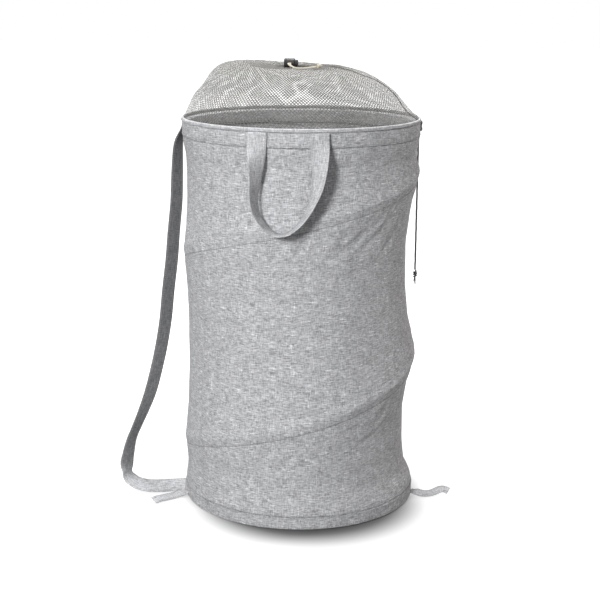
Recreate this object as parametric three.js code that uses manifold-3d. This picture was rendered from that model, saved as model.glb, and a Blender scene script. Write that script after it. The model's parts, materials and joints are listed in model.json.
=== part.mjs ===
// Pop up laundry hamper: a cloth drum held open by two ring wires and one spiral wire, with a
// net cover gathered by a drawcord, two carrying handles, a shoulder strap and two tie tapes.
// Millimetres, +Z up. The origin is the centre of the underside of the base, on the floor.
// The front handle is at -Y, the shoulder strap at -X and the hanging closure cord at +X.
import * as THREE from 'three';
import { mergeVertices } from 'three/addons/utils/BufferGeometryUtils.js';
import Module from 'manifold-3d';

const wasm = await Module();
wasm.setup();

// Driving sizes of the drum
const BODY_RADIUS = 184;
const BODY_HEIGHT = 608;
const SEAM_GAP = 0.3;
const PANEL_CLOTH = 1.2;
const CASING_CLOTH = 1;
const WIRE_DIAMETER = 3;
const FERRULE_WALL = 0.8;
const FERRULE_LENGTH = 14;
const RIM_HEM = 22;
const BASE_HEM = 20;
const BINDING_HEIGHT = 6;
const BINDING_THICKNESS = 3.8;
const BINDING_OVERHANG = 1;

// Every round piece about the drum's axis has its facets at the same angles
const COLUMNS = 32;
const COLUMN_ANGLE = 2 * Math.PI / COLUMNS;

// Spiral wire: two and a half turns, counter-clockwise as it rises from the right side
const SPIRAL_STEPS = 80;
const SPIRAL_LEAD_STEPS = 1;
const SPIRAL_STEADY_SHARE = 0.25;
const SPIRAL_LAG_SHARE = 0.035;
const SPIRAL_BULGE = 3;
const HEM_BLEND = 34;
const CHANNEL_WIDTH = 26;

// Slack of the wall cloth between two turns of the spiral, deeper on the right
const SLACK_RIGHT = 19;
const SLACK_LEFT = 8;
const FULL_SPAN_SHARE = 0.4;
const WALL_ROWS_SHARES = [[0, 0], [0.06, 0.24], [0.18, 0.64], [0.38, 0.95], [0.62, 1], [0.82, 0.66],
  [0.94, 0.24], [1, 0]];

// Net cover over the mouth, gathered round an opening near the middle
const MESH_RISE = 75;
const MESH_THICKNESS = 1.6;
const MOUTH_RADIUS = 30;
const MOUTH_X = -11;
const MOUTH_Y = -8;
// Share of the way from rim to mouth, height share on the left and on the right
const MESH_ROWS_SHARES = [[0, 0, 0], [0.1, 0.38, 0.18], [0.22, 0.64, 0.49], [0.34, 0.91, 0.7],
  [0.48, 1.07, 0.86], [0.64, 1.08, 0.95], [0.82, 1.02, 1]];
// Openings that stand for the net's holes: one to every two facets, in rows between these shares
// of the way to the mouth, with a bar this share of a facet to each side
const MESH_OPENINGS_SHARES = [[0.04, 0.2], [0.24, 0.44], [0.48, 0.68], [0.72, 0.92]];
const MESH_BAR_SHARE = 0.14;
const HEM_TUBE_CLOTH = 1;
const HEM_LIP = 2;
const HEM_CUT_STEPS = 2;

// Drawcord and its spring lock
const DRAWCORD_DIAMETER = 2.2;
const DRAWCORD_SPACING = 2.6;
const DRAWCORD_SIDES = 6;
// Where the cord rises from the mouth to the lock: shares of the way sideways, forwards and up
const CORD_RISE_SHARES = [0.5, 0.12, 0.5];
const CORD_LEVEL_SHARE = 0.55;
const LOCK_DIAMETER = 14;
const LOCK_LENGTH = 16;
const LOCK_WALL = 1.7;
const LOCK_END_WALL = 1.2;
const LOCK_STANDOFF = 3;
const LOCK_RIM_CHAMFER = 1;
const PLUNGER_PROUD = 5;
const PLUNGER_WEB = 1.3;
const PLUNGER_TRAVEL = 2.5;
const PLUNGER_CLEARANCE = 0.3;
const SPRING_ROOM = 3.5;
const SPRING_DIAMETER = 6;
const SPRING_WIRE = 0.5;
const SPRING_TURNS = 2;
const SLIDE_CLEARANCE = 0.5;
// Route of the free ends from the lock's front face, between the two cords
const TAIL_ROUTE = [[0, 0, 0], [0, -5, 0], [0, -10, 0], [3, -15, -2.6], [10, -17, -5.6], [20, -15, -6.3],
  [30, -11, -5.6], [40, -6, -4.2]];
const TAIL_STEPS = 24;
const DRAWCORD_KNOT_LENGTH = 9;
const DRAWCORD_KNOT_DIAMETER = 7;

// Carrying handles: a flat strip hanging as a loop, turned edge out at its lowest point
const HANDLE_WIDTH = 28;
const HANDLE_THICKNESS = 2;
const HANDLE_HALF_SPAN = 44;
const HANDLE_DROP = 152;
const HANDLE_LEG_SHARE = 0.5;
const HANDLE_TURN_SHARE = 0.2;
const HANDLE_STANDOFF = 3;
const HANDLE_LEG_STEPS = 5;
const HANDLE_ARC_STEPS = 14;

// Shoulder strap, sewn at the rim and at the base
const STRAP_WIDTH = 25;
const STRAP_THICKNESS = 2;
const STRAP_BASE_HEIGHT = 8;
const STRAP_BASE_ANGLE = 191 * Math.PI / 180;
const STRAP_FLOOR_LEAN = 30 * Math.PI / 180;
const STRAP_STEPS = 56;
// Shares: outwards and forwards of the body radius, height of the body height, turn of a half turn
const STRAP_ROUTE_SHARES = [
  [0.049, 0.003, 0.93, 0.12], [0.066, 0.006, 0.852, 0.19], [0.075, 0.012, 0.774, 0.21],
  [0.1, 0.02, 0.695, 0.22], [0.121, 0.03, 0.617, 0.23], [0.152, 0.042, 0.537, 0.23],
  [0.178, 0.058, 0.456, 0.23], [0.213, 0.078, 0.388, 0.23], [0.25, 0.1, 0.333, 0.23],
  [0.307, 0.127, 0.264, 0.23], [0.361, 0.155, 0.217, 0.2], [0.417, 0.185, 0.175, 0.17],
  [0.463, 0.215, 0.139, 0.16], [0.491, 0.245, 0.098, 0.2], [0.5, 0.272, 0.072, 0.22]];
const STRAP_FLOOR_SHARES = [[0.485, 0.3, 0.047], [0.42, 0.325, 0.03], [0.32, 0.325, 0.021],
  [0.2, 0.28, 0.016]];

// Tie tapes at the base, folded double
const TIE_WIDTH = 15;
const TIE_THICKNESS = 1.8;
const TIE_LENGTH = 60;
const TIE_HEIGHT = 7;
const TIE_DIP_SHARE = 0.72;
const TIE_STEPS = 12;
const LEFT_TIE_ANGLE = 200 * Math.PI / 180;
const RIGHT_TIE_ANGLE = -3 * Math.PI / 180;

// Closure cord that hangs at the right of the rim, with its black sliding toggle
const CLOSURE_ANGLE = 22.5 * Math.PI / 180;
const CLOSURE_STANDOFF = 10;
const CLOSURE_CORD_DIAMETER = 3;
const CLOSURE_CORD_LENGTH = 225;
const CLOSURE_CORD_SIDES = 8;
const TOGGLE_DIAMETER = 12;
const TOGGLE_LENGTH = 16;
const TOGGLE_WAIST_SHARE = 0.82;
const TOGGLE_SIDES = 16;
const CLOSURE_BEND_STEPS = 6;
const CLOSURE_CORD_STEPS = 24;
const CLOSURE_KNOT_DIAMETER = 8;
const CLOSURE_KNOT_LENGTH = 13;

// Cylinder facets and the overrun of a cutting tool past what it cuts
const ROUND_SIDES = 24;
const CUT_OVERRUN = 2;

// Sizes that follow from the driving sizes, outermost first
const CASING_INSIDE = BODY_RADIUS - CASING_CLOTH;
const WALL_END_RADIUS = CASING_INSIDE - SEAM_GAP;
const WIRE_ROOM = SEAM_GAP + FERRULE_WALL + SEAM_GAP;
const RING_RADIUS = WALL_END_RADIUS - PANEL_CLOTH - WIRE_ROOM - WIRE_DIAMETER / 2;
const CASING_LEG_RADIUS = RING_RADIUS - WIRE_DIAMETER / 2 - WIRE_ROOM;
const CASING_INNER_RADIUS = CASING_LEG_RADIUS - CASING_CLOTH;
const BASE_RING_HEIGHT = CASING_CLOTH + WIRE_ROOM + WIRE_DIAMETER / 2;
const RIM_CASING_TOP = BODY_HEIGHT - BINDING_HEIGHT - SEAM_GAP;
const RIM_RING_HEIGHT = RIM_CASING_TOP - BASE_RING_HEIGHT;
const WIRE_PITCH = WIRE_DIAMETER + SEAM_GAP;
const SPIRAL_BOTTOM = BASE_RING_HEIGHT + WIRE_PITCH;
const SPIRAL_TOP = RIM_RING_HEIGHT - WIRE_PITCH;
const WALL_BOTTOM = CASING_CLOTH + SEAM_GAP;
const WALL_TOP = RIM_CASING_TOP - WALL_BOTTOM;
const BINDING_OUTSIDE = BODY_RADIUS + BINDING_OVERHANG;
const BINDING_INSIDE = BINDING_OUTSIDE - BINDING_THICKNESS;

const hamper = new THREE.Group();

function clothMaterial(colour) {
  return new THREE.MeshStandardMaterial({ color: colour, roughness: 0.95, metalness: 0 });
}

const HEATHER_GREY = clothMaterial(0xb2b2b4);
const LINING_GREY = clothMaterial(0x9c9c9e);
const NET_TAUPE = clothMaterial(0x8d8a86);
const DARK_CORD = clothMaterial(0x55555a);
const CREAM_CORD = clothMaterial(0xe4ded0);
const SPRING_STEEL = new THREE.MeshStandardMaterial({ color: 0x8a8d90, roughness: 0.35, metalness: 1 });
const FERRULE_ZINC = new THREE.MeshStandardMaterial({ color: 0xa9acae, roughness: 0.4, metalness: 1 });
const BLACK_PLASTIC = new THREE.MeshStandardMaterial({ color: 0x17171a, roughness: 0.45, metalness: 0 });

function addPiece(name, geometry, material, parent = hamper) {
  const piece = new THREE.Mesh(geometry, material);
  piece.name = name;
  parent.add(piece);
  return piece;
}

function clamp01(value) {
  return Math.min(1, Math.max(0, value));
}

function ease(value) {
  const share = clamp01(value);
  return share * share * (3 - 2 * share);
}

function lerp(from, to, share) {
  return from + (to - from) * share;
}

function polar(radius, angle, height) {
  return new THREE.Vector3(radius * Math.cos(angle), radius * Math.sin(angle), height);
}

function geometryFrom(points, triangles) {
  const geometry = new THREE.BufferGeometry();
  geometry.setAttribute('position', new THREE.Float32BufferAttribute(points.flatMap((p) => p.toArray()), 3));
  geometry.setIndex(triangles);
  geometry.computeVertexNormals();
  return geometry;
}

// Solid of revolution about +Z from [radius, height] pairs, with the drum's own facets
function revolve(profile, sides = COLUMNS) {
  const geometry = new THREE.LatheGeometry(profile.map(([r, z]) => new THREE.Vector2(r, z)), sides);
  return geometry.rotateX(Math.PI / 2);
}

// Closed loop of points round a circle, for a wire or cord section
function circleOutline(radius, sides) {
  return Array.from({ length: sides }, (_, i) => {
    const turn = 2 * Math.PI * (i + 0.5) / sides;
    return new THREE.Vector2(radius * Math.cos(turn), radius * Math.sin(turn));
  });
}

function boxOutline(width, thickness) {
  return [new THREE.Vector2(width / 2, thickness / 2), new THREE.Vector2(-width / 2, thickness / 2),
    new THREE.Vector2(-width / 2, -thickness / 2), new THREE.Vector2(width / 2, -thickness / 2)];
}

// Joins equal rings of points into one solid, open rings capped by the outline's own triangles
function loft(rings, outline, closed = false) {
  const count = outline.length;
  const points = rings.flat();
  const triangles = [];
  const last = closed ? rings.length : rings.length - 1;
  for (let ring = 0; ring < last; ring += 1) {
    const next = (ring + 1) % rings.length;
    for (let side = 0; side < count; side += 1) {
      const after = (side + 1) % count;
      const corners = [ring * count + side, ring * count + after, next * count + after, next * count + side];
      triangles.push(corners[0], corners[1], corners[2], corners[0], corners[2], corners[3]);
    }
  }
  if (!closed) {
    const end = (rings.length - 1) * count;
    for (const [a, b, c] of THREE.ShapeUtils.triangulateShape(outline, [])) {
      triangles.push(a, c, b, end + a, end + b, end + c);
    }
  }
  return geometryFrom(points, triangles);
}

// Places an outline at a point: its first axis along one vector and its second along another
function placeOutline(outline, centre, first, second) {
  return outline.map((p) => centre.clone().addScaledVector(first, p.x).addScaledVector(second, p.y));
}

// Places an outline of [height, radius] offsets in the upright plane through the drum's axis
function placeUpright(outline, radius, angle, height) {
  return placeOutline(outline, polar(radius, angle, height), new THREE.Vector3(0, 0, 1), polar(1, angle, 0));
}

// Sweeps a round section along a path, turning it as little as the path allows
function sweepRound(path, diameter, sides) {
  const outline = circleOutline(diameter / 2, sides);
  const start = path[1].clone().sub(path[0]).normalize();
  let across = Math.abs(start.z) < 0.9 ? new THREE.Vector3(0, 0, 1) : new THREE.Vector3(1, 0, 0);
  const rings = path.map((point, i) => {
    const before = path[Math.max(0, i - 1)];
    const after = path[Math.min(path.length - 1, i + 1)];
    const along = after.clone().sub(before).normalize();
    across = across.clone().addScaledVector(along, -across.dot(along)).normalize();
    return placeOutline(outline, point, across, along.clone().cross(across));
  });
  return loft(rings, outline);
}

// Sweeps a flat strip along a path; each place gives its centre and the way its width lies
function sweepStrip(places, width, thickness) {
  const outline = boxOutline(width, thickness);
  const rings = places.map(({ centre, across }, i) => {
    const before = places[Math.max(0, i - 1)].centre;
    const after = places[Math.min(places.length - 1, i + 1)].centre;
    const along = after.clone().sub(before).normalize();
    const first = across.clone().addScaledVector(along, -across.dot(along)).normalize();
    return placeOutline(outline, centre, first, along.clone().cross(first));
  });
  return loft(rings, outline);
}

function toSolid(geometry) {
  const bare = geometry.index ? geometry.clone() : geometry;
  bare.deleteAttribute('normal');
  bare.deleteAttribute('uv');
  const merged = mergeVertices(bare);
  return new wasm.Manifold(new wasm.Mesh({
    numProp: 3,
    vertProperties: new Float32Array(merged.attributes.position.array),
    triVerts: new Uint32Array(merged.index.array),
  }));
}

function fromSolid(solid) {
  const mesh = solid.getMesh();
  const geometry = new THREE.BufferGeometry();
  geometry.setAttribute('position', new THREE.Float32BufferAttribute(mesh.vertProperties, 3));
  geometry.setIndex(Array.from(mesh.triVerts));
  geometry.computeVertexNormals();
  return geometry;
}

function subtractAll(body, tools) {
  return fromSolid(tools.reduce((solid, tool) => solid.subtract(toSolid(tool)), toSolid(body)));
}

// Height of the spiral wire's centre at each step, the first and last steps level with the rings
function spiralHeight(step) {
  const run = SPIRAL_STEPS - 2 * SPIRAL_LEAD_STEPS;
  const down = clamp01((SPIRAL_STEPS - SPIRAL_LEAD_STEPS - step) / run);
  const late = down - SPIRAL_LAG_SHARE * Math.sin(Math.PI * down) * down;
  const share = lerp(ease(late), late, SPIRAL_STEADY_SHARE);
  return lerp(SPIRAL_TOP, SPIRAL_BOTTOM, share);
}

// 0 inside either hem, 1 where the cloth hangs free of it
function freeShare(height) {
  const low = ease((height - BASE_HEM) / HEM_BLEND);
  const high = ease((RIM_CASING_TOP - RIM_HEM - height) / HEM_BLEND);
  return low * high;
}

function spiralRadius(height) {
  return RING_RADIUS + SPIRAL_BULGE * freeShare(height);
}

// Outer radius of the wall where it lies over the wire
function ridgeRadius(height) {
  const overWire = spiralRadius(height) + WIRE_DIAMETER / 2 + SEAM_GAP + PANEL_CLOTH;
  return lerp(WALL_END_RADIUS, overWire, freeShare(height));
}

// Height of the wall's crease: over the wire, and drawn to the wall's own edges inside the hems
function creaseHeight(step) {
  if (step <= SPIRAL_LEAD_STEPS) return WALL_BOTTOM;
  if (step >= SPIRAL_STEPS - SPIRAL_LEAD_STEPS) return WALL_TOP;
  const height = spiralHeight(step);
  const inBase = 1 - ease((height - SPIRAL_BOTTOM) / (BASE_HEM - SPIRAL_BOTTOM));
  const rimHemEdge = RIM_CASING_TOP - RIM_HEM;
  const inRim = 1 - ease((SPIRAL_TOP - height) / (SPIRAL_TOP - rimHemEdge));
  return height - inBase * (SPIRAL_BOTTOM - WALL_BOTTOM) + inRim * (WALL_TOP - SPIRAL_TOP);
}

// Height of the row next to a crease that lies inside a hem: at the hem's edge once clear of it
function hemRowHeight(inside, outside, hemEdge) {
  const usual = lerp(inside, outside, WALL_ROWS_SHARES[1][0]);
  const past = Math.max(0, (outside - hemEdge) * Math.sign(hemEdge - inside));
  return lerp(usual, hemEdge, clamp01(past / CHANNEL_WIDTH));
}

// Height of a row between two creases, with a row kept at the edge of either hem
function rowHeight(low, high, row) {
  const last = WALL_ROWS_SHARES.length - 1;
  if (row === 0) return low;
  if (row === last) return high;
  const margin = WALL_ROWS_SHARES[1][0];
  const rimHemEdge = RIM_CASING_TOP - RIM_HEM;
  const inBase = low < BASE_HEM;
  const inRim = high > rimHemEdge;
  const from = inBase ? hemRowHeight(low, high, BASE_HEM) : low;
  const to = inRim ? hemRowHeight(high, low, rimHemEdge) : high;
  const fromShare = inBase ? margin : 0;
  const toShare = inRim ? 1 - margin : 1;
  return lerp(from, to, (WALL_ROWS_SHARES[row][0] - fromShare) / (toShare - fromShare));
}

// One place on the wall's outer face, between the turn below and the turn at this step
function wallPoint(step, row) {
  const [across, slack] = WALL_ROWS_SHARES[row];
  const low = creaseHeight(step - COLUMNS);
  const high = creaseHeight(step);
  const height = rowHeight(low, high, row);
  const angle = step * COLUMN_ANGLE;
  const fullSpan = FULL_SPAN_SHARE * BODY_HEIGHT;
  const depth = lerp(SLACK_LEFT, SLACK_RIGHT, (1 + Math.cos(angle)) / 2);
  const taut = lerp(ridgeRadius(low), ridgeRadius(high), across);
  const sag = depth * slack * clamp01((high - low) / fullSpan) * freeShare(height);
  return { radius: taut - sag, angle, height };
}

// The wall is one sheet wound between the turns; each turn's crease is shared by both sides
function wallGeometry() {
  const rows = WALL_ROWS_SHARES.length - 1;
  const first = SPIRAL_LEAD_STEPS;
  const last = SPIRAL_STEPS - SPIRAL_LEAD_STEPS + COLUMNS;
  const outer = [];
  const inner = [];
  const indexOf = new Map();
  const vertex = (step, row) => {
    if (step === first) return vertex(step + COLUMNS, 0);
    if (step === last) return vertex(last - COLUMNS, rows);
    if (row === 0 && step - COLUMNS > first) return vertex(step - COLUMNS, rows);
    const key = `${step},${row}`;
    if (!indexOf.has(key)) {
      const { radius, angle, height } = wallPoint(step, row);
      indexOf.set(key, outer.length);
      outer.push(polar(radius, angle, height));
      inner.push(polar(radius - PANEL_CLOTH, angle, height));
    }
    return indexOf.get(key);
  };
  const skin = [];
  const edges = [];
  const addFace = (a, b, c) => {
    if (a !== b && b !== c && c !== a) skin.push([a, b, c]);
  };
  for (let step = first; step < last; step += 1) {
    for (let row = 0; row < rows; row += 1) {
      const a = vertex(step, row);
      const b = vertex(step + 1, row);
      const c = vertex(step + 1, row + 1);
      const d = vertex(step, row + 1);
      addFace(a, b, c);
      addFace(a, c, d);
    }
    if (step < first + COLUMNS) edges.push([vertex(step + 1, 0), vertex(step, 0)]);
    if (step >= last - COLUMNS) edges.push([vertex(step, rows), vertex(step + 1, rows)]);
  }
  const inside = outer.length;
  const triangles = skin.flatMap(([a, b, c]) => [a, b, c, inside + a, inside + c, inside + b]);
  for (const [a, b] of edges) triangles.push(a, b, inside + b, a, inside + b, inside + a);
  return geometryFrom([...outer, ...inner], triangles);
}

// Radius of the wall's inner face a short way above or below the crease
function wallInsideNear(step, offset) {
  const last = WALL_ROWS_SHARES.length - 1;
  const target = creaseHeight(step) + offset;
  const strip = offset > 0 ? step + COLUMNS : step;
  const column = WALL_ROWS_SHARES.map((_, row) => wallPoint(strip, row));
  const above = Math.max(1, column.findIndex((place, row) => place.height >= target || row === last));
  const [low, high] = [column[above - 1], column[above]];
  return lerp(low.radius, high.radius, (target - low.height) / (high.height - low.height)) - PANEL_CLOTH;
}

function spiralWireGeometry() {
  const outline = circleOutline(WIRE_DIAMETER / 2, 6);
  const rings = Array.from({ length: SPIRAL_STEPS + 1 }, (_, step) => {
    const height = spiralHeight(step);
    return placeUpright(outline, spiralRadius(height), step * COLUMN_ANGLE, height);
  });
  return loft(rings, outline);
}

// Tape sewn inside the wall along both edges, with the spiral wire in the channel between
function spiralCasingGeometry() {
  const half = CHANNEL_WIDTH / 2;
  const lowest = BASE_HEM + half;
  const highest = RIM_CASING_TOP - RIM_HEM - half;
  const section = (step, height) => {
    const behindWire = WIRE_DIAMETER / 2 + SEAM_GAP;
    const outside = [-half, 0, half].map((offset) => {
      const behindWall = spiralRadius(height) - wallInsideNear(step, offset) + 2 * SEAM_GAP;
      return [offset, -(offset === 0 ? behindWire : behindWall)];
    });
    const inside = outside.map(([offset, depth]) => [offset, depth - CASING_CLOTH]);
    return [...inside, ...outside.reverse()].map(([x, y]) => new THREE.Vector2(x, y));
  };
  const steps = Array.from({ length: SPIRAL_STEPS + 1 }, (_, step) => step);
  const held = steps.filter((step) => spiralHeight(step) > lowest && spiralHeight(step) < highest);
  const rings = held.map((step) => {
    const height = spiralHeight(step);
    return placeUpright(section(step, height), spiralRadius(height), step * COLUMN_ANGLE, height);
  });
  return loft(rings, section(held[0], spiralHeight(held[0])));
}

function ringWireGeometry(height) {
  const section = circleOutline(WIRE_DIAMETER / 2, 6);
  const profile = section.map((p) => [RING_RADIUS + p.x, height + p.y]);
  return revolve([...profile, profile[0]]);
}

// Oval crimp round a ring wire and the spiral's end beside it, at the middle of a facet
function ferrulePiece(name, step, ringHeight, spiralEndHeight) {
  const innerRadius = WIRE_DIAMETER / 2 + SEAM_GAP;
  const straight = Math.abs(spiralEndHeight - ringHeight) / 2;
  const stadium = (radius, path) => {
    path.absarc(0, straight, radius, 0, Math.PI, false);
    path.absarc(0, -straight, radius, Math.PI, 2 * Math.PI, false);
    path.closePath();
    return path;
  };
  const shape = stadium(innerRadius + FERRULE_WALL, new THREE.Shape());
  shape.holes.push(stadium(innerRadius, new THREE.Path()));
  const geometry = new THREE.ExtrudeGeometry(shape, {
    depth: FERRULE_LENGTH, bevelEnabled: false, curveSegments: ROUND_SIDES / 3,
  });
  geometry.translate(0, 0, -FERRULE_LENGTH / 2);
  geometry.rotateX(Math.PI / 2);
  const piece = addPiece(name, geometry, FERRULE_ZINC);
  const angle = (step + 0.5) * COLUMN_ANGLE;
  const facetRadius = RING_RADIUS * Math.cos(COLUMN_ANGLE / 2);
  piece.position.copy(polar(facetRadius, angle, (ringHeight + spiralEndHeight) / 2));
  piece.rotation.z = angle;
  return piece;
}

// Hem folded round a ring wire: an open channel, its web at the given end
function casingGeometry(webHeight, hem, upwards) {
  const side = upwards ? 1 : -1;
  const web = webHeight + side * CASING_CLOTH;
  const edge = webHeight + side * hem;
  const profile = [[CASING_INNER_RADIUS, webHeight], [BODY_RADIUS, webHeight], [BODY_RADIUS, edge],
    [CASING_INSIDE, edge], [CASING_INSIDE, web], [CASING_LEG_RADIUS, web], [CASING_LEG_RADIUS, edge],
    [CASING_INNER_RADIUS, edge]];
  const ordered = upwards ? profile : [...profile].reverse();
  return revolve([...ordered, ordered[0]]);
}

function bindingGeometry() {
  const low = RIM_CASING_TOP + SEAM_GAP;
  const round = BINDING_THICKNESS / 4;
  const profile = [[BINDING_INSIDE, low], [BINDING_OUTSIDE, low], [BINDING_OUTSIDE, BODY_HEIGHT - round],
    [BINDING_OUTSIDE - round, BODY_HEIGHT], [BINDING_INSIDE + round, BODY_HEIGHT],
    [BINDING_INSIDE, BODY_HEIGHT - round]];
  return revolve([...profile, profile[0]]);
}

function addBase() {
  const panelRadius = CASING_INNER_RADIUS - SEAM_GAP;
  const panel = [[0, 0], [panelRadius, 0], [panelRadius, PANEL_CLOTH], [0, PANEL_CLOTH]];
  addPiece('base_panel', revolve(panel), HEATHER_GREY);
  addPiece('base_casing', casingGeometry(0, BASE_HEM, true), HEATHER_GREY);
  addPiece('base_ring_wire', ringWireGeometry(BASE_RING_HEIGHT), SPRING_STEEL);
  ferrulePiece('base_ferrule', 0, BASE_RING_HEIGHT, SPIRAL_BOTTOM);
}

function addWall() {
  addPiece('wall_panel', wallGeometry(), HEATHER_GREY);
  addPiece('spiral_wire', spiralWireGeometry(), SPRING_STEEL);
  addPiece('spiral_casing', spiralCasingGeometry(), LINING_GREY);
}

function addRim() {
  addPiece('rim_casing', casingGeometry(RIM_CASING_TOP, RIM_HEM, false), HEATHER_GREY);
  addPiece('rim_ring_wire', ringWireGeometry(RIM_RING_HEIGHT), SPRING_STEEL);
  ferrulePiece('rim_ferrule', SPIRAL_STEPS - 1, RIM_RING_HEIGHT, SPIRAL_TOP);
  addPiece('rim_binding', bindingGeometry(), HEATHER_GREY);
}

// Sizes of the gathered mouth, its hem tube and the lock that follow from the cord
const CORD_RADIUS = DRAWCORD_DIAMETER / 2;
const HEM_HALF_HEIGHT = CORD_RADIUS + SEAM_GAP + HEM_TUBE_CLOTH;
const MOUTH_HEIGHT = BODY_HEIGHT + MESH_RISE;
const NET_EDGE_RADIUS = MOUTH_RADIUS + CORD_RADIUS + SEAM_GAP;
const LOCK_RADIUS = LOCK_DIAMETER / 2;
const LOCK_Y = MOUTH_Y - MOUTH_RADIUS - HEM_LIP - CORD_RADIUS - LOCK_STANDOFF - LOCK_RADIUS;
const LOCK_HEIGHT = MOUTH_HEIGHT + MESH_THICKNESS + SEAM_GAP + LOCK_RADIUS;
const MOUTH_CENTRE = new THREE.Vector3(MOUTH_X, MOUTH_Y, 0);

// Height share of the net at a share of the way from rim to mouth, on the left or on the right
function domeShare(across, side) {
  const rows = [...MESH_ROWS_SHARES, [1, 1, 1]];
  const above = Math.max(1, rows.findIndex((row) => row[0] >= across));
  const [low, high] = [rows[above - 1], rows[above]];
  return lerp(low[side], high[side], (across - low[0]) / (high[0] - low[0]));
}

// One ring of the net: each pair of facets holds a bar at its two ends and an opening's width between
function netRing(across) {
  const skirt = BINDING_INSIDE - SEAM_GAP;
  const corners = Array.from({ length: COLUMNS }, (_, column) => {
    const angle = column * COLUMN_ANGLE;
    const share = lerp(domeShare(across, 1), domeShare(across, 2), (1 + Math.cos(angle)) / 2);
    const height = BODY_HEIGHT + MESH_RISE * share + across * MESH_THICKNESS / 2;
    const mouthPoint = polar(NET_EDGE_RADIUS, angle, height);
    mouthPoint.x += MOUTH_X;
    mouthPoint.y += MOUTH_Y;
    return polar(skirt, angle, height).lerp(mouthPoint, across);
  });
  return corners.flatMap((corner, column) => {
    const next = corners[(column + 1) % COLUMNS];
    const startsPair = column % 2 === 0;
    return [corner, corner.clone().lerp(next, startsPair ? MESH_BAR_SHARE : 1 - MESH_BAR_SHARE)];
  });
}

// Net shell: rings from the rim to the mouth, with its skirt down inside the binding
function meshCoverGeometry() {
  const shares = [0, 1];
  for (const [low, high] of MESH_OPENINGS_SHARES) shares.push(low, (low + high) / 2, high);
  shares.sort((a, b) => a - b);
  const rows = shares.map(netRing);
  rows.unshift(rows[0].map((p) => new THREE.Vector3(p.x, p.y, RIM_CASING_TOP + SEAM_GAP)));
  const inOpening = (share) => MESH_OPENINGS_SHARES.some(([low, high]) => share >= low && share < high);
  const isOpen = (row, column) => row > 0 && inOpening(shares[row - 1]) && [1, 2].includes(column % 4);
  return shellGeometry(rows, MESH_THICKNESS, isOpen);
}

// A shell round the axis, its inner skin one thickness inside the outer. Open cells are left out
// of both skins, and every free edge has a wall between the skins.
function shellGeometry(rows, thickness, isOpen) {
  const across = rows[0].length;
  const outer = rows.flat();
  const inner = rows.flatMap((ring, i) => ring.map((point, column) => {
    const ahead = ring[(column + 1) % across].clone().sub(ring[(column + across - 1) % across]);
    const above = rows[Math.min(rows.length - 1, i + 1)][column];
    const below = rows[Math.max(0, i - 1)][column];
    const normal = ahead.cross(above.clone().sub(below)).normalize();
    return point.clone().addScaledVector(normal, -thickness);
  }));
  const triangles = [];
  const inside = outer.length;
  const quad = (a, b, c, d) => triangles.push(a, b, c, a, c, d);
  const isInside = (row) => row >= 0 && row < rows.length - 1;
  const isSolid = (row, column) => isInside(row) && !isOpen(row, (column + across) % across);
  for (let row = 0; row < rows.length - 1; row += 1) {
    for (let column = 0; column < across; column += 1) {
      if (!isSolid(row, column)) continue;
      const a = row * across + column;
      const b = row * across + (column + 1) % across;
      const [c, d] = [b + across, a + across];
      quad(a, b, c, d);
      quad(inside + a, inside + d, inside + c, inside + b);
      const sides = [[a, b, row - 1, column], [b, c, row, column + 1], [c, d, row + 1, column],
        [d, a, row, column - 1]];
      for (const [from, to, besideRow, besideColumn] of sides) {
        if (!isSolid(besideRow, besideColumn)) quad(from, inside + from, inside + to, to);
      }
    }
  }
  return withoutSpares([...outer, ...inner], triangles);
}

// Leaves out the points that no triangle uses
function withoutSpares(points, triangles) {
  const used = [...new Set(triangles)].sort((a, b) => a - b);
  const place = new Map(used.map((old, now) => [old, now]));
  return geometryFrom(used.map((old) => points[old]), triangles.map((old) => place.get(old)));
}

// Folded hem round the drawcord, open outwards to take the net's edge and cut away at the lock
function meshHemGeometry() {
  const inner = HEM_HALF_HEIGHT - HEM_TUBE_CLOTH;
  const lip = CORD_RADIUS + HEM_LIP;
  const profile = [[-HEM_HALF_HEIGHT, lip], [-HEM_HALF_HEIGHT, -HEM_HALF_HEIGHT],
    [HEM_HALF_HEIGHT, -HEM_HALF_HEIGHT], [HEM_HALF_HEIGHT, lip], [inner, lip], [inner, -inner],
    [-inner, -inner], [-inner, lip]];
  const outline = profile.map(([x, y]) => new THREE.Vector2(x, y));
  const front = 3 * COLUMNS / 4;
  const rings = [];
  for (let column = front + HEM_CUT_STEPS; column <= front + COLUMNS - HEM_CUT_STEPS; column += 1) {
    const ring = placeUpright(outline, MOUTH_RADIUS, column * COLUMN_ANGLE, MOUTH_HEIGHT);
    rings.push(ring.map((point) => point.add(MOUTH_CENTRE)));
  }
  return loft(rings, outline);
}

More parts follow.
